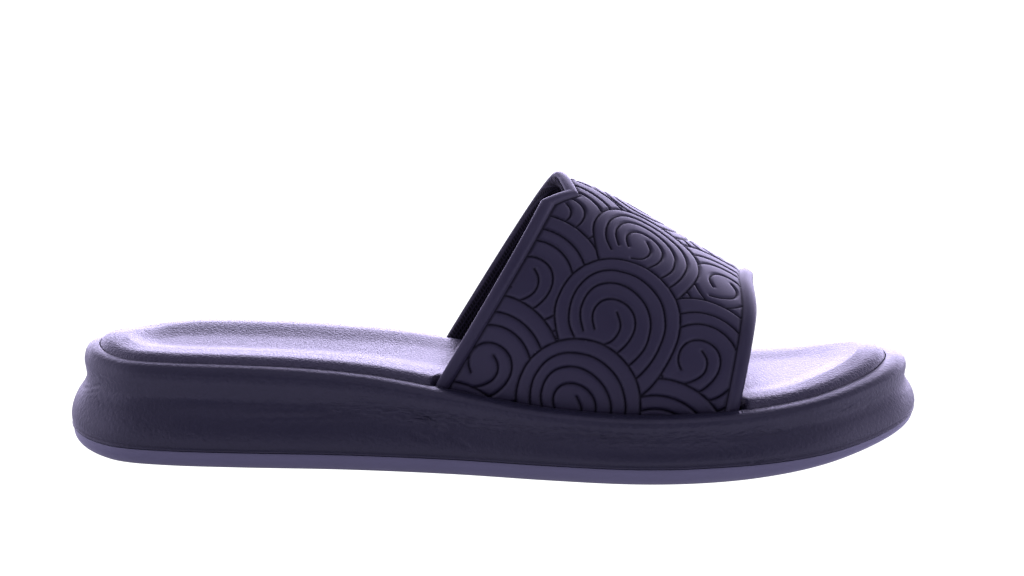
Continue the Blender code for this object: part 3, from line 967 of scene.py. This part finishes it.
def crease_depth(side, s, share):
    """Depth of the listed flex creases and dents of the side wall, in metres."""
    tall = (crest_height(s) - seam_height(s)) / MM
    along, up = s / MM, share * tall
    # each crease wanders by up to half a millimetre
    wander = 0.34 * np.sin(along * 1.15 + 0.6 * np.sin(along * 0.31))
    wander += 0.22 * np.sin(along * 2.3 + 1.0)
    # the big-toe side has the same creases, 7 mm nearer to the toe
    shift = 0.0 if side < 0 else 7.0
    total = np.zeros_like(s)
    for s0, share0, s1, share1, depth, width in CREASES:
        start = np.array([s0 + shift, share0 * np.interp(s0 * MM, s, tall)])
        end = np.array([s1 + shift, share1 * np.interp(s1 * MM, s, tall)])
        run = end - start
        spots = np.stack([along, up + wander], axis=1) - start
        t = np.clip(spots @ run / (run @ run), 0, 1)
        gap = np.linalg.norm(spots - t[:, None] * run, axis=1)
        fade = np.minimum(1, 6 * np.minimum(t, 1 - t) + 0.15)
        trough = np.exp(-((gap / width) ** 2))
        ridge = np.exp(-(((gap - 2 * width) / width) ** 2))
        total += depth * fade * (trough - 0.45 * ridge)
    smooth_tip, fade_in = 0.4 * MM, 3 * MM
    from_heel = smooth_step((s - smooth_tip) / fade_in)
    from_toe = smooth_step((SOLE_LENGTH - smooth_tip - s) / fade_in)
    return total * MM * from_heel * from_toe


def flex_amount(s, share):
    """Where the side wall is crumpled by walking: a band at mid height, from the waist to the ball."""
    middle, half_width = 0.60, 0.13
    band = np.exp(-(((share - middle) / half_width) ** 2))
    return band * smooth_step((s - 0.060) / 0.050) * smooth_step((0.262 - s) / 0.030)


def midsole_profile():
    """Columns of the midsole's side: seam bead, side wall, rolled rim and the pocket's wall."""

    def level(share):
        return lambda side, s: seam_height(s) + share * (crest_height(s) - seam_height(s))

    def under_crest(depth):
        return lambda side, s: crest_height(s) - depth

    def bead(height, inset):
        return lambda side, s: inset * MM + crease_depth(
            side, s, height * MM / (crest_height(s) - seam_height(s))
        )

    def drawn(share):
        bare = read_table(SIDE_PROFILE, share)
        return lambda side, s: taper(s) * bare + crease_depth(side, s, share)

    columns = []
    for height, inset in SEAM_BEAD:
        columns.append((bead(height, inset), lambda side, s, up=height: seam_height(s) + up * MM))
    low, creased, high = (0.125, 0.40, 12), (0.412, 0.80, 38), (0.82, 0.90, 5)
    for share in np.concatenate([np.linspace(*part) for part in (low, creased, high)]):
        columns.append((drawn(share), level(share)))
    for roll, share in RIM_PROFILE:
        columns.append((lambda side, s, r=roll: taper(s) + RIM_ROLL * r, level(share)))
    columns.append((lambda side, s: taper(s) + RIM_ROLL + 0.4 * MM, under_crest(0.02 * MM)))
    for outwards, down in RIM_LIP:
        columns.append((lambda side, s, o=outwards: RIM_WIDTH - o, under_crest(down)))
    return columns


def outsole_profile():
    """Columns of the outsole's edge: its round lower corner, then its softened upper edge."""

    def inset_by(inset):
        return lambda side, s: inset

    def lifted(share):
        return lambda side, s: (
            bottom_height(s) + (seam_height(s) - bottom_height(s) - CLEARANCE) * share
        )

    def under_seam(depth):
        return lambda side, s: seam_height(s) - CLEARANCE - depth

    columns = []
    for share in np.linspace(0, 1, 11):
        angle = share * math.pi / 2
        inset = SEAM_INSET + OUTSOLE_ROUNDING * (1 - math.sin(angle))
        columns.append((inset_by(inset), lifted(OUTSOLE_ROUND_SHARE * (1 - math.cos(angle)))))
    for down, inset in ((0.30, 0.0), (0.02, 0.04), (-0.12, 0.28)):
        columns.append((inset_by(SEAM_INSET + inset * MM), under_seam(down * MM)))
    return columns


def tread_bow(column):
    """Depth of the wavy tread grooves, for one column of the underside."""
    x, y = column[:, 0], column[:, 1]
    cut = np.zeros_like(x)
    for seat, numbers in ((HEEL_SEAT, HEEL_GROOVES), (FOREFOOT_SEAT, FOREFOOT_GROOVES)):
        for number in numbers:
            middle = seat + (number + 0.5) * TREAD_PITCH
            widths = [abs(np.interp(middle, *SIDE_LINES[side][0].T)) for side in (-1, 1)]
            half_span = min(widths) - TREAD_MARGIN
            line = middle - HEEL_SEAT - TREAD_WAVE * (1 - np.cos(math.pi * y / half_span))
            wall = 1 - smooth_step((np.abs(x - line) - TREAD_WIDTH / 2 + 0.35 * MM) / (0.7 * MM))
            end = 1 - smooth_step((np.abs(y) - half_span) / (1.0 * MM))
            cut = np.maximum(cut, (TREAD_DEPTH + bottom_height(middle)) * wall * end)
    return cut


def footbed_profile():
    """Columns of the footbed's edge and its long rounded shoulder."""

    def edge(depth):
        return lambda side, s: RIM_WIDTH + FOOTBED_GAP + slot_inset(side, s, depth)

    def shoulder(reach):
        slot_share = 1 - 0.9 * reach / PAD_REACH
        return lambda side, s: (
            RIM_WIDTH + FOOTBED_GAP + reach + slot_inset(side, s, 0.0) * slot_share
        )

    def risen(share):
        start = RIM_EDGE_ROUND / 2
        return lambda side, s: crest_height(s) - start + (start + side_rise(side, s)) * share

    columns = [
        (edge(POCKET_DEPTH), lambda side, s: crest_height(s) - POCKET_DEPTH + CLEARANCE),
        (edge(POCKET_DEPTH / 2), lambda side, s: crest_height(s) - POCKET_DEPTH / 2),
        (edge(0.0), lambda side, s: crest_height(s) - RIM_EDGE_ROUND),
    ]
    for inwards, rise in PAD_SLOPE:
        columns.append((shoulder(PAD_SHOULDER * inwards), risen(rise)))
    return columns


def outline_distance(x, y):
    """Distance of points from the sole's widest line."""
    line = np.concatenate([line[::4] for line, _, _ in SIDE_LINES.values()])
    gaps = np.hypot(x[:, None] + HEEL_SEAT - line[:, 0], y[:, None] - line[:, 1])
    return gaps.min(axis=1)


def footbed_bow(column):
    """The footbed's shallow dish: it starts a little inside the pad's shoulder."""
    s = column[:, 0] + HEEL_SEAT
    inside = outline_distance(column[:, 0], column[:, 1]) - RIM_WIDTH - PAD_REACH
    slope = smooth_step(inside / (DISH_SLOPE_SHARE * DISH_SLOPE_WIDTH))
    return -DISH_DEPTH_SHARE * dish_depth(s) * slope


def strap_lattice():
    """Places of the strap's grid points: distance from the heel, share, and height in mm."""
    share = np.linspace(-1, 1, STRAP_ROWS)
    back, front = ARCH.edges(share)
    section = np.array(RIM_SECTION)
    s, height = [], []
    for reach, lift in section:
        s.append(back + reach * BACK_RIM_WIDTH)
        height.append(lift)
    first, last = back + BACK_RIM_WIDTH, front - FRONT_RIM_WIDTH
    for i in range(1, PANEL_COLUMNS):
        s.append(first + (last - first) * i / PANEL_COLUMNS)
        height.append(0.0)
    for reach, lift in section[::-1]:
        s.append(front - reach * FRONT_RIM_WIDTH)
        height.append(lift)
    inner_first, inner_last = s[-1], s[0]
    for i in range(1, INNER_CELLS):
        s.append(inner_first + (inner_last - inner_first) * i / INNER_CELLS)
        height.append(section[0][1])
    s.append(s[0])
    height.append(height[0])
    s = np.stack(s, axis=1)
    shares = np.repeat(share[:, None], s.shape[1], axis=1)
    return s, shares, np.broadcast_to(np.array(height), s.shape).copy()


def carve(s, share, panel, relief, slide_mm=0.30, landed_mm=0.12):
    """Slides grid points that lie beside a groove onto its line.

    Returns each point's distance to the nearest groove in mm, and whether it lies on one.
    """
    flat_s, flat_share = s[:, panel].ravel(), share[:, panel].ravel()
    gap, way = relief.ways(flat_s, flat_share)
    inner = np.zeros((s.shape[0], panel.stop - panel.start), bool)
    inner[4:-4, 2:-2] = True
    slid = (gap < slide_mm) & inner.ravel()
    flat_s[slid] += way[slid, 0] * MM
    flat_share[slid] += way[slid, 1] * MM / ARCH.total(flat_s[slid])
    gap = relief.ways(flat_s, flat_share)[0]
    s[:, panel] = flat_s.reshape(inner.shape)
    share[:, panel] = flat_share.reshape(inner.shape)
    return gap.reshape(inner.shape), (slid & (gap < landed_mm)).reshape(inner.shape)


def split_along_grooves(bm, shape, panel, on_line):
    """Splits the grid's cells so that a groove's bottom runs along their edges."""
    rows, columns = shape
    wide = np.zeros(shape, bool)
    wide[:, panel] = on_line
    verts = bm.verts
    cells = {}
    for r in range(rows - 1):
        low, high = wide[r], wide[r + 1]
        rising = np.flatnonzero(low[:-1] & high[1:] & ~low[1:] & ~high[:-1])
        falling = np.flatnonzero(high[:-1] & low[1:] & ~low[:-1] & ~high[1:])
        for c in rising:
            cells[r * (columns - 1) + c] = (r * columns + c, (r + 1) * columns + c + 1)
        for c in falling:
            cells[r * (columns - 1) + c] = ((r + 1) * columns + c, r * columns + c + 1)
    bm.faces.ensure_lookup_table()
    picked = [(bm.faces[index], verts[a], verts[b]) for index, (a, b) in cells.items()]
    for face, a, b in picked:
        if a in face.verts and b in face.verts:
            bmesh.utils.face_split(face, a, b)


def groove_height(gap, depth, width):
    """Height of the relief at a distance from a groove's line: round grooves between soft bands."""
    groove = np.exp(-((gap / (0.5 * width)) ** 2))
    band = np.exp(-gap / (0.9 * width))
    return -(0.84 * depth * groove + 0.16 * depth * band)


def add_node(tree, kind, inputs=None, **settings):
    """Adds a shader node with its settings, and links or sets its inputs by name or number."""
    node = tree.nodes.new("ShaderNode" + kind)
    for name, value in settings.items():
        setattr(node, name, value)
    for name, value in (inputs or {}).items():
        if isinstance(value, bpy.types.NodeSocket):
            tree.links.new(value, node.inputs[name])
        else:
            node.inputs[name].default_value = value
    return node


def new_material(name, **sockets):
    """Material with one Principled shader, whose uniform values are set on its sockets."""
    material = bpy.data.materials.new(name)
    material.use_nodes = True
    tree = material.node_tree
    shader = tree.nodes["Principled BSDF"]
    for socket, value in sockets.items():
        shader.inputs[socket.replace("_", " ")].default_value = value
    return material, tree, shader


def grain_size(width_mm):
    """Texture scale for grains of this width, on Object coordinates in metres."""
    return 1000.0 / width_mm


def shades(colour, *factors):
    """Darker or lighter shades of a colour, for a shader's or mix's sockets."""
    return [(*[part * factor for part in colour], 1.0) for factor in factors]


def skin_nodes(tree, shader, colour, pale, grain_mm, grain_height_mm, rough):
    """Skin of moulded rubber and foam: uneven colour, micro grain and a few specks of dust.

    Grain and dust are drawn coarser than real ones, which are too fine to show in the render.
    Returns the place, the colour and the bump that each material goes on from.
    """
    place = add_node(tree, "TexCoord").outputs["Object"]
    cloud = add_node(tree, "TexNoise", {"Vector": place, "Scale": grain_size(26), "Detail": 4.0})
    grain = add_node(
        tree,
        "TexNoise",
        {"Vector": place, "Scale": grain_size(grain_mm), "Detail": 3.0, "Roughness": 0.6},
    )
    # specks of dust about 0.4 mm wide, one in each 11 mm
    dust = add_node(tree, "TexVoronoi", {"Vector": place, "Scale": grain_size(11)})
    speck = add_node(
        tree, "MapRange", {"Value": dust.outputs["Distance"], "From Min": 0.022, "From Max": 0.012}
    )
    plain, light = shades(colour, 1.0, pale)
    mixed = add_node(
        tree, "Mix", {"Factor": cloud.outputs["Fac"], "A": plain, "B": light}, data_type="RGBA"
    )
    dusty = add_node(
        tree,
        "Mix",
        {"Factor": speck.outputs["Result"], "A": mixed.outputs["Result"], "B": DUST_COLOUR},
        data_type="RGBA",
    )
    roughness = add_node(
        tree,
        "MapRange",
        {"Value": grain.outputs["Fac"], "To Min": rough - 0.05, "To Max": rough + 0.07},
    )
    bump = add_node(
        tree, "Bump", {"Height": grain.outputs["Fac"], "Distance": grain_height_mm * MM}
    )
    tree.links.new(roughness.outputs["Result"], shader.inputs["Roughness"])
    return place, dusty.outputs["Result"], bump.outputs["Normal"]


def finish_material(tree, shader, colour, normal):
    """Links a material's last colour and bump to its shader."""
    tree.links.new(colour, shader.inputs["Base Color"])
    tree.links.new(normal, shader.inputs["Normal"])


def outsole_rubber(colour):
    """Moulded rubber, smooth and satin: picks up the pale floor along its rounded lower edge."""
    material, tree, shader = new_material("moulded_rubber_outsole", IOR=1.52, Metallic=0.0)
    _, mixed, normal = skin_nodes(
        tree, shader, colour, pale=1.25, grain_mm=0.5, grain_height_mm=0.008, rough=0.36
    )
    finish_material(tree, shader, mixed, normal)
    return material


def midsole_foam(colour):
    """Compression-moulded EVA foam: matt skin with a fine grain, crumpled where it flexes."""
    material, tree, shader = new_material(
        "moulded_eva_foam", IOR=1.5, Metallic=0.0, Specular_IOR_Level=0.38
    )
    place, mixed, normal = skin_nodes(
        tree, shader, colour, pale=1.3, grain_mm=1.20, grain_height_mm=0.240, rough=0.40
    )
    flex = add_node(tree, "Attribute", attribute_name="flex")
    # wrinkles about 11 mm long and 2 mm apart
    wrinkle = (grain_size(11.0), grain_size(11.0), grain_size(2.1))
    stretched = add_node(tree, "Mapping", {"Vector": place, "Scale": wrinkle})
    crumple = add_node(
        tree,
        "TexNoise",
        {"Vector": stretched.outputs["Vector"], "Scale": 1.0, "Detail": 3.0, "Distortion": 0.9},
    )
    amount = add_node(
        tree, "Math", {0: crumple.outputs["Fac"], 1: flex.outputs["Fac"]}, operation="MULTIPLY"
    )
    creased = add_node(
        tree, "Bump", {"Height": amount.outputs[0], "Distance": 0.90 * MM, "Normal": normal}
    )
    finish_material(tree, shader, mixed, creased.outputs["Normal"])
    return material


def footbed_foam(colour):
    """Soft foam with a leather-like embossed skin: pebbles about 1.3 mm wide break up its sheen."""
    material, tree, shader = new_material("embossed_foam_skin", IOR=1.5, Metallic=0.0)
    place, mixed, normal = skin_nodes(
        tree, shader, colour, pale=1.35, grain_mm=0.5, grain_height_mm=0.010, rough=0.40
    )
    bent = add_node(tree, "TexNoise", {"Vector": place, "Scale": grain_size(2.5), "Detail": 2.0})
    shifted = add_node(
        tree, "VectorMath", {0: bent.outputs["Color"], "Scale": 1.1 * MM}, operation="SCALE"
    )
    moved = add_node(tree, "VectorMath", {0: place, 1: shifted.outputs[0]}, operation="ADD")
    pebbles = add_node(
        tree,
        "TexVoronoi",
        {"Vector": moved.outputs[0], "Scale": grain_size(1.35)},
        feature="DISTANCE_TO_EDGE",
    )
    valley = add_node(
        tree, "MapRange", {"Value": pebbles.outputs["Distance"], "From Min": 0.0, "From Max": 0.22}
    )
    leather = add_node(
        tree, "Bump", {"Height": valley.outputs["Result"], "Distance": 0.10 * MM, "Normal": normal}
    )
    finish_material(tree, shader, mixed, leather.outputs["Normal"])
    return material


def strap_rubber(colour):
    """Injection-moulded soft rubber: satin bands, with painted shade that darkens the carved grooves
    most where they are deepest.
    """
    # the specular level is linked below, and its own value here is for exports that drop the link
    material, tree, shader = new_material(
        "carved_moulded_rubber", IOR=1.5, Metallic=0.0, Specular_IOR_Level=0.24
    )
    _, mixed, normal = skin_nodes(
        tree, shader, colour, pale=1.25, grain_mm=0.5, grain_height_mm=0.012, rough=0.46
    )
    # painted shade: along the grooves the colour darkens to 0.12 of the rubber's and the specular
    # level drops, so that they read dark
    groove = add_node(tree, "Attribute", attribute_name="groove").outputs["Fac"]
    carved = add_node(
        tree, "Mix", {"Factor": groove, "A": mixed, "B": shades(colour, 0.12)[0]}, data_type="RGBA"
    )
    gloss = add_node(tree, "MapRange", {"Value": groove, "To Min": 0.24, "To Max": 0.04})
    tree.links.new(gloss.outputs["Result"], shader.inputs["Specular IOR Level"])
    finish_material(tree, shader, carved.outputs["Result"], normal)
    return material


def mesh_fabric(colour):
    """Warp-knitted polyester mesh, black: strands about 1.2 mm apart round small open holes. The
    strands are painted lighter as their highlight and the holes darker as shade.
    """
    material, tree, shader = new_material(
        "knitted_polyester_mesh", IOR=1.5, Metallic=0.0, Specular_IOR_Level=0.12, Roughness=0.80
    )
    uv = add_node(tree, "UVMap", uv_map="weave").outputs["UV"]
    # the map is in mm, and a wave texture of scale 1 has its bands a tenth of pi apart
    band_scale = math.pi / 10 / MESH_PITCH_MM
    strands = []
    for turn in (28.0, -28.0):
        turned = add_node(
            tree, "Mapping", {"Vector": uv, "Rotation": (0.0, 0.0, math.radians(turn))}
        )
        wave = add_node(tree, "TexWave", {"Vector": turned.outputs["Vector"], "Scale": band_scale})
        strands.append(wave.outputs["Fac"])
    net = add_node(tree, "Math", {0: strands[0], 1: strands[1]}, operation="MAXIMUM")
    thread = add_node(
        tree, "MapRange", {"Value": net.outputs[0], "From Min": 0.55, "From Max": 0.90}
    )
    # painted highlight and shade: strands at 2.4 times the black mesh's colour, holes at 0.35 of it
    hole_shade, strand_highlight = shades(colour, 0.35, 2.4)
    mixed = add_node(
        tree, "Mix", {"Factor": thread.outputs["Result"], "A": hole_shade, "B": strand_highlight}, data_type="RGBA"
    )
    bump = add_node(tree, "Bump", {"Height": thread.outputs["Result"], "Distance": 0.25 * MM})
    finish_material(tree, shader, mixed.outputs["Result"], bump.outputs["Normal"])
    return material


class SandalSizes(bpy.types.PropertyGroup):
    """Sizes of the fine work that the solids leave out."""

    groove_depth: FloatProperty(
        name="Groove depth",
        description="Depth of the strap's carved grooves",
        default=0.75 * MM,
        precision=5,
        unit="LENGTH",
    )
    groove_width: FloatProperty(
        name="Groove width",
        description="Width of the strap's carved grooves",
        default=0.95 * MM,
        precision=5,
        unit="LENGTH",
    )


class SandalColours(bpy.types.PropertyGroup):
    """Colours of the sandal's pieces, before light."""

    outsole: FloatVectorProperty(
        name="Outsole", description="Rubber of the outsole", subtype="COLOR", default=linear("#4e4e5c")
    )
    midsole: FloatVectorProperty(
        name="Midsole", description="Foam of the midsole", subtype="COLOR", default=linear("#181824")
    )
    footbed: FloatVectorProperty(
        name="Footbed", description="Foam of the footbed", subtype="COLOR", default=linear("#1f1d2b")
    )
    strap: FloatVectorProperty(
        name="Strap", description="Rubber of the strap", subtype="COLOR", default=linear("#23212e")
    )
    lining: FloatVectorProperty(
        name="Lining", description="Mesh of the lining", subtype="COLOR", default=linear("#15131a")
    )


class SANDAL_OT_outsole(bpy.types.Operator):
    """Builds the rubber outsole with its tread grooves"""

    bl_idname = "sandal.outsole"
    bl_label = "Outsole"

    def execute(self, context):
        bm = sole_piece(outsole_profile(), top_cells=6, bottom_cells=44, bottom_bow=tread_bow)
        close_seams(bm)
        piece = piece_of("outsole_rubber", bm, outsole_rubber(context.scene.sandal_colours.outsole))
        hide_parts("outsole")
        return {"FINISHED"}


class SANDAL_OT_midsole(bpy.types.Operator):
    """Builds the foam midsole with its rolled rim and flex creases"""

    bl_idname = "sandal.midsole"
    bl_label = "Midsole"

    def execute(self, context):
        bm = sole_piece(midsole_profile(), top_cells=8, bottom_cells=8)
        places = np.array([vert.co for vert in bm.verts])
        s = places[:, 0] + HEEL_SEAT
        share = (places[:, 2] - seam_height(s)) / (crest_height(s) - seam_height(s))
        set_values(bm, "flex", flex_amount(s, share))
        close_seams(bm)
        material = midsole_foam(context.scene.sandal_colours.midsole)
        piece = piece_of("midsole_foam", bm, material, sharp_deg=60)
        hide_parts("midsole")
        return {"FINISHED"}


class SANDAL_OT_footbed(bpy.types.Operator):
    """Builds the cushioned footbed with its sloping shoulder and dish"""

    bl_idname = "sandal.footbed"
    bl_label = "Footbed"

    def execute(self, context):
        bm = sole_piece(footbed_profile(), top_cells=34, bottom_cells=6, top_bow=footbed_bow)
        close_seams(bm)
        piece = piece_of("footbed_foam", bm, footbed_foam(context.scene.sandal_colours.footbed))
        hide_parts("footbed")
        return {"FINISHED"}


class SANDAL_OT_strap(bpy.types.Operator):
    """Builds the moulded strap with its raised rims and carved medallions"""

    bl_idname = "sandal.strap"
    bl_label = "Strap"

    def execute(self, context):
        depth_mm = context.scene.sandal_sizes.groove_depth / MM
        width_mm = context.scene.sandal_sizes.groove_width / MM
        s, share, height = strap_lattice()
        rim = len(RIM_SECTION)
        panel = slice(rim - 1, rim + PANEL_COLUMNS)
        gap, on_line = carve(s, share, panel, Relief())
        places = ARCH.point(s, share)
        normal = ARCH.slopes(s, share)[2]
        from_back = (s[:, panel] - s[:, panel.start][:, None]) / MM
        from_front = (s[:, panel.stop - 1][:, None] - s[:, panel]) / MM
        # the groove along each rim is a little wider than the others
        gap = np.minimum(gap, np.minimum(from_back, from_front) * 0.85)
        carved = groove_height(gap, depth_mm, width_mm)
        # painted shade for the grooves, strongest on their lines: the strap's material darkens its
        # colour by this share
        groove_shade = np.zeros(s.shape)
        groove_shade[:, panel] = 0.88 * np.exp(-((gap / (0.42 * width_mm)) ** 2))
        inner = slice(panel.start + 1, panel.stop - 1)
        height[:, inner] = carved[:, 1:-1]
        places += normal * (height * MM)[..., None]
        bm = flat_grid(*s.shape)
        wrap(bm, places)
        set_values(bm, "groove", groove_shade)
        split_along_grooves(bm, s.shape, panel, on_line)
        close_seams(bm)
        material = strap_rubber(context.scene.sandal_colours.strap)
        piece = piece_of("strap_rubber", bm, material, sharp_deg=70)
        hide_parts("strap")
        return {"FINISHED"}


class SANDAL_OT_lining(bpy.types.Operator):
    """Builds the mesh lining that is bonded to the inside of the strap"""

    bl_idname = "sandal.lining"
    bl_label = "Lining"

    def execute(self, context):
        share = np.linspace(-LINING_SHARE, LINING_SHARE, LINING_ROWS)
        back, front = ARCH.edges(share)
        first, last = back + LINING_TURN[-1][0] * MM, front - LINING_FRONT_GAP
        t = np.linspace(0, 1, LINING_COLUMNS)
        turned = np.array(LINING_TURN[:-1])
        edge = back[:, None] + turned[:, 0] * MM
        s = np.concatenate([edge, first[:, None] + (last - first)[:, None] * t], axis=1)
        depth = np.concatenate([turned[:, 1], np.full(LINING_COLUMNS, LINING_TURN[-1][1])])
        shares = np.repeat(share[:, None], s.shape[1], axis=1)
        normal = ARCH.slopes(s, shares)[2]
        places = ARCH.point(s, shares) + normal * (depth * MM)[None, :, None]
        bm = flat_grid(*s.shape)
        wrap(bm, places)
        uv = bm.loops.layers.uv.new("weave")
        along, across = (s / MM).ravel(), (shares * HALF_WAY_ROUND_MM).ravel()
        flat = dict(zip(bm.verts, zip(along, across)))
        for face in bm.faces:
            for loop in face.loops:
                loop[uv].uv = flat[loop.vert]
        bmesh.ops.recalc_face_normals(bm, faces=bm.faces)
        bm.normal_update()
        area = sum(face.calc_area() for face in bm.faces)
        crown = max(bm.faces, key=lambda face: face.calc_center_median().z)
        if crown.normal.z > 0:
            bmesh.ops.reverse_faces(bm, faces=bm.faces)
        piece = piece_of("strap_lining", bm, mesh_fabric(context.scene.sandal_colours.lining))
        shell = piece.modifiers.new("thickness", "SOLIDIFY")
        shell.thickness = LINING_THICKNESS
        shell.offset = 1.0
        return {"FINISHED"}


class SANDAL_OT_stage(bpy.types.Operator):
    """Sets the pale floor, the soft studio light and the camera"""

    bl_idname = "sandal.stage"
    bl_label = "Stage"

    def execute(self, context):
        scene = context.scene
        bm = bmesh.new()
        # 0.2 mm under the sole, so that the two never share a plane
        bmesh.ops.create_grid(bm, x_segments=1, y_segments=1, size=30.0)
        bmesh.ops.translate(bm, verts=bm.verts, vec=(0.0, 0.0, -0.0002))
        mesh = bpy.data.meshes.new("floor")
        bm.to_mesh(mesh)
        bm.free()
        floor = bpy.data.objects.new("floor", mesh)
        scene.collection.objects.link(floor)
        material, tree, shader = new_material(
            "light_table_acrylic",
            Base_Color=FLOOR_COLOUR,
            Roughness=0.9,
            Metallic=0.0,
            Specular_IOR_Level=0.0,
            Emission_Color=FLOOR_GLOW,
        )
        glow = add_node(tree, "Emission", {"Color": BACKDROP_COLOUR, "Strength": BACKDROP_STRENGTH})
        seen = add_node(tree, "LightPath").outputs["Is Camera Ray"]
        # the floor glows more beyond heel and toe than beside the shoe
        place = add_node(tree, "TexCoord").outputs["Object"]
        across = add_node(tree, "SeparateXYZ", {"Vector": place}).outputs["X"]
        far_off = add_node(tree, "Math", {0: across, 1: 2.0}, operation="POWER")
        spread = add_node(
            tree,
            "MapRange",
            {"Value": far_off.outputs[0], "From Max": 0.5, "To Min": 0.31, "To Max": 1.8},
        )
        tree.links.new(spread.outputs["Result"], shader.inputs["Emission Strength"])
        mixed = add_node(
            tree, "MixShader", {0: seen, 1: shader.outputs["BSDF"], 2: glow.outputs["Emission"]}
        )
        tree.links.new(mixed.outputs[0], tree.nodes["Material Output"].inputs["Surface"])
        mesh.materials.append(material)
        self.light(scene)
        self.camera(scene)
        scene.view_settings.view_transform = "Standard"
        scene.view_settings.look = "None"
        scene.view_settings.exposure = 0.0
        return {"FINISHED"}

    def light(self, scene):
        """White tent: bright behind and over the shoe, dim on the camera's side."""
        world = bpy.data.worlds.new("white_tent")
        scene.world = world
        world.use_nodes = True
        tree = world.node_tree
        tree.nodes.clear()
        direction = add_node(tree, "TexCoord").outputs["Generated"]
        parts = add_node(tree, "SeparateXYZ", {"Vector": direction})
        behind = add_node(tree, "Math", {0: parts.outputs["Y"], 1: 0.0}, operation="MAXIMUM")
        fall = add_node(tree, "Math", {0: behind.outputs[0], 1: TENT_BACK_FALL}, operation="POWER")
        beside = add_node(tree, "Math", {0: parts.outputs["X"], 1: 2.0}, operation="POWER")
        sides = add_node(
            tree,
            "Math",
            {0: beside.outputs[0], 1: TENT_SIDE_STRENGTH, 2: TENT_LEAST_STRENGTH},
            operation="MULTIPLY_ADD",
        )
        strength = add_node(
            tree,
            "Math",
            {0: fall.outputs[0], 1: TENT_BACK_STRENGTH, 2: sides.outputs[0]},
            operation="MULTIPLY_ADD",
        )
        tent = add_node(
            tree, "Background", {"Color": (*LIGHT_TINT, 1.0), "Strength": strength.outputs[0]}
        )
        plain = add_node(
            tree, "Background", {"Color": BACKDROP_COLOUR, "Strength": BACKDROP_STRENGTH}
        )
        seen = add_node(tree, "LightPath").outputs["Is Camera Ray"]
        mixed = add_node(tree, "MixShader", {0: seen, 1: tent.outputs[0], 2: plain.outputs[0]})
        add_node(tree, "OutputWorld", {"Surface": mixed.outputs[0]})
        for name, spot, size, power in (
            ("overhead_softbox", (0.05, 0.25, 1.3), 1.2, 2.0),
            ("front_fill", (0.20, -0.70, 1.30), 0.8, 3.4),
        ):
            lamp = bpy.data.lights.new(name, "AREA")
            lamp.shape = "SQUARE"
            lamp.size = size
            lamp.energy = power
            lamp.color = LIGHT_TINT
            light = bpy.data.objects.new(name, lamp)
            light.location = spot
            aim = Vector(LOOK_AT) - Vector(spot)
            light.rotation_euler = aim.to_track_quat("-Z", "Y").to_euler()
            scene.collection.objects.link(light)

    def camera(self, scene):
        """Long lens, low on the little-toe side, as in the photograph."""
        data = bpy.data.cameras.new("camera")
        data.sensor_width = SENSOR_WIDTH
        data.lens = FOCAL_PIXELS / IMAGE_WIDTH * SENSOR_WIDTH
        data.clip_start, data.clip_end = 0.05, 60.0
        camera = bpy.data.objects.new("camera", data)

        def direction(turn, lift):
            """Unit direction, turned from the shoe's side and lifted over the floor, in degrees."""
            turn, lift = math.radians(turn), math.radians(lift)
            flat = math.cos(lift)
            return Vector((math.sin(turn) * flat, -math.cos(turn) * flat, math.sin(lift)))

        away = direction(CAMERA_ORBIT, CAMERA_LIFT)
        back = direction(CAMERA_YAW, CAMERA_PITCH)
        right = Vector((0.0, 0.0, 1.0)).cross(back).normalized()
        turn = Matrix((right, back.cross(right), back)).transposed()
        spot = Vector(LOOK_AT) + away * CAMERA_DISTANCE
        camera.matrix_world = Matrix.Translation(spot) @ turn.to_4x4()
        scene.collection.objects.link(camera)
        scene.camera = camera


class SANDAL_PT_panel(bpy.types.Panel):
    """Lists the sandal's sizes, colours and pieces"""

    bl_idname = "SANDAL_PT_panel"
    bl_label = "Slide Sandal"
    bl_space_type = "VIEW_3D"
    bl_region_type = "UI"
    bl_category = "Sandal"

    def draw(self, context):
        for group in (context.scene.sandal_sizes, context.scene.sandal_colours):
            box = self.layout.box()
            for name in group.__annotations__:
                box.prop(group, name)
        for operator in OPERATORS:
            self.layout.operator(operator.bl_idname)


OPERATORS = (
    SANDAL_OT_outsole,
    SANDAL_OT_midsole,
    SANDAL_OT_footbed,
    SANDAL_OT_strap,
    SANDAL_OT_lining,
    SANDAL_OT_stage,
)
CLASSES = (SandalSizes, SandalColours, *OPERATORS, SANDAL_PT_panel)


def register():
    for cls in CLASSES:
        bpy.utils.register_class(cls)
    bpy.types.Scene.sandal_sizes = PointerProperty(type=SandalSizes)
    bpy.types.Scene.sandal_colours = PointerProperty(type=SandalColours)


def unregister():
    del bpy.types.Scene.sandal_colours
    del bpy.types.Scene.sandal_sizes
    for cls in reversed(CLASSES):
        bpy.utils.unregister_class(cls)


def main():
    register()
    bpy.ops.sandal.outsole()
    bpy.ops.sandal.midsole()
    bpy.ops.sandal.footbed()
    bpy.ops.sandal.strap()
    bpy.ops.sandal.lining()
    bpy.ops.sandal.stage()


if __name__ == "__main__":
    main()
